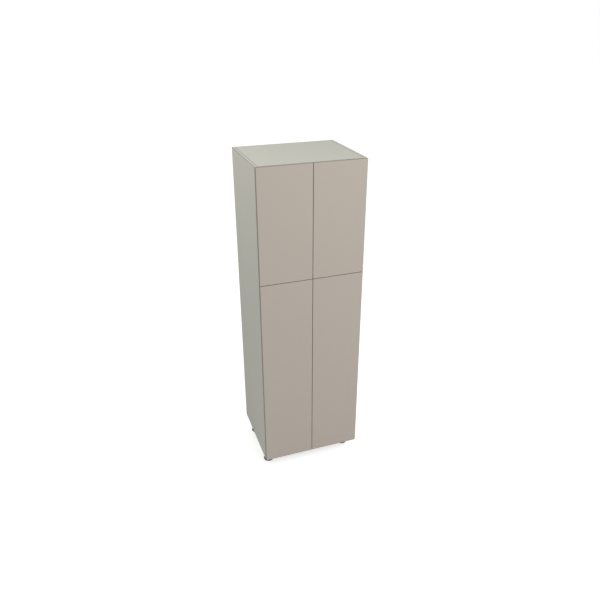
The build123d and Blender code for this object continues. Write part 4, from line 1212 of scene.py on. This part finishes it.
# A threaded bar down from its top, without a head
stem_tree, stem_in, stem_out = node_group(
    "Threaded stems",
    [("Places", "Geometry", None), ("Radius", "Float", 0.007), ("Length", "Float", 0.046),
     ("Thread Pitch", "Float", 0.0025), ("Thread Height", "Float", 0.0009),
     ("Point Length", "Float", 0.0015), ("Finish", "Material", None)],
    [("Geometry", "Geometry")],
    "GeometryNodeTree",
)
bar, bar_place, depth, angle = turned_bar(stem_tree, stem_in["Length"], sides=32, segments=150)
ridge = thread_ridge(depth, angle, stem_in["Thread Pitch"])
reach = minus(stem_in["Radius"], times(minus(1.0, ridge), stem_in["Thread Height"]))
chamfer = maths("MINIMUM", 1.0, plus(over(depth, stem_in["Point Length"]), STEM_TIP_SHARE))
end_with_copies(stem_tree, stem_in, stem_out, set_reach(bar, bar_place, depth, times(reach, chamfer)))

for leg in LEGS:
    x, y = leg_place(leg)
    pad = turned(pad_profile, 64)
    pad.transform(Matrix.Translation((x, y, 0.0)))
    fit(new_piece("foot_pad_" + leg, pad, foot_plastic), leg + "_foot", "foot_plastic", "foot_" + leg)
    stem_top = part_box("foot_" + leg)[1].z
    stem = run_tree(
        "foot_stem_" + leg, stem_tree, [((x, y, stem_top), NO_TURN)], Finish=foot_plastic,
        Radius=STEM_RADIUS, Length=stem_top - PAD_HEIGHT, Thread_Pitch=STEM_PITCH, Thread_Height=STEM_THREAD)
    fit(stem, leg + "_foot", "foot_plastic")

# Floor: a plain pale matt ground under the feet.
# It turns white for the camera and keeps the shadow of the object.
FLOOR_HALF = 30.0
FLOOR_GREY = (0.8, 0.8, 0.8)
FLOOR_ROUGHNESS = 0.9
FLOOR_GLOW = 0.60
floor_mesh = bpy.data.meshes.new("floor")
floor_corners = [(x * FLOOR_HALF, y * FLOOR_HALF, 0.0) for x, y in ((-1, -1), (1, -1), (1, 1), (-1, 1))]
floor_mesh.from_pydata(floor_corners, [], [(0, 1, 2, 3)])
floor = bpy.data.objects.new("floor", floor_mesh)
bpy.context.scene.collection.objects.link(floor)
floor_finish = bpy.data.materials.new("Floor")
floor_finish.use_nodes = True
floor_tree = floor_finish.node_tree
floor_shader = floor_tree.nodes["Principled BSDF"]
feed(floor_shader.inputs["Base Color"], FLOOR_GREY)
feed(floor_shader.inputs["Roughness"], FLOOR_ROUGHNESS)
feed(floor_shader.inputs["Specular IOR Level"], 0.0)
to_camera = add_node(floor_tree, "ShaderNodeLightPath").outputs["Is Camera Ray"]
floor_glow = add_node(floor_tree, "ShaderNodeEmission", {"Strength": times(to_camera, FLOOR_GLOW)})
floor_sum = add_node(floor_tree, "ShaderNodeAddShader", {
    0: floor_shader.outputs["BSDF"], 1: floor_glow.outputs["Emission"]})
feed(floor_tree.nodes["Material Output"].inputs["Surface"], floor_sum.outputs["Shader"])
floor_mesh.materials.append(floor_finish)

# Light: a pale surround on every side, a large soft lamp high in front and a small one at the left.
# The camera and the reflections see the surround as white.
SURROUND_STRENGTH = 0.565
world = bpy.data.worlds.new("Surround")
bpy.context.scene.world = world
world.use_nodes = True
surround = world.node_tree.nodes["Background"]
rays = add_node(world.node_tree, "ShaderNodeLightPath").outputs
seen = maths("MAXIMUM", rays["Is Camera Ray"], rays["Is Glossy Ray"])
seen = maths("MAXIMUM", seen, rays["Is Transmission Ray"])
feed(surround.inputs["Strength"], plus(times(seen, 1.0 - SURROUND_STRENGTH), SURROUND_STRENGTH))
feed(surround.inputs["Color"], (1.0, 1.0, 1.0))


def soft_lamp(name, place, aim, size, power):
    """A square area lamp that looks at a point."""
    data = bpy.data.lights.new(name, "AREA")
    data.size = size
    data.energy = power
    lamp = bpy.data.objects.new(name, data)
    lamp.location = place
    lamp.rotation_euler = (Vector(aim) - Vector(place)).to_track_quat("-Z", "Y").to_euler()
    bpy.context.scene.collection.objects.link(lamp)


soft_lamp("key", (2.0, -4.0, 5.0), aim=(0.0, 0.0, 1.4), size=3.0, power=150.0)
soft_lamp("left", (-2.0, 0.3, 3.6), aim=(-0.38, 0.0, 1.6), size=1.0, power=18.0)

# Camera: above the eye and to the front left, at the angle of the photograph.
# Its shift is only what the photograph's framing needs.
CAMERA_PLACE = (-1.2756, -3.7625, 3.302)
CAMERA_YAW = 19.52
CAMERA_PITCH = 26.41
camera_data = bpy.data.cameras.new("camera")
camera_data.lens = 34.91
camera_data.sensor_width = 36.0
camera_data.shift_x = -0.0093
camera_data.shift_y = -0.0019
camera = bpy.data.objects.new("camera", camera_data)
camera.location = CAMERA_PLACE
camera.rotation_euler = (math.radians(90.0 - CAMERA_PITCH), 0.0, math.radians(-CAMERA_YAW))
bpy.context.scene.collection.objects.link(camera)
bpy.context.scene.camera = camera
bpy.context.scene.view_settings.view_transform = "Standard"
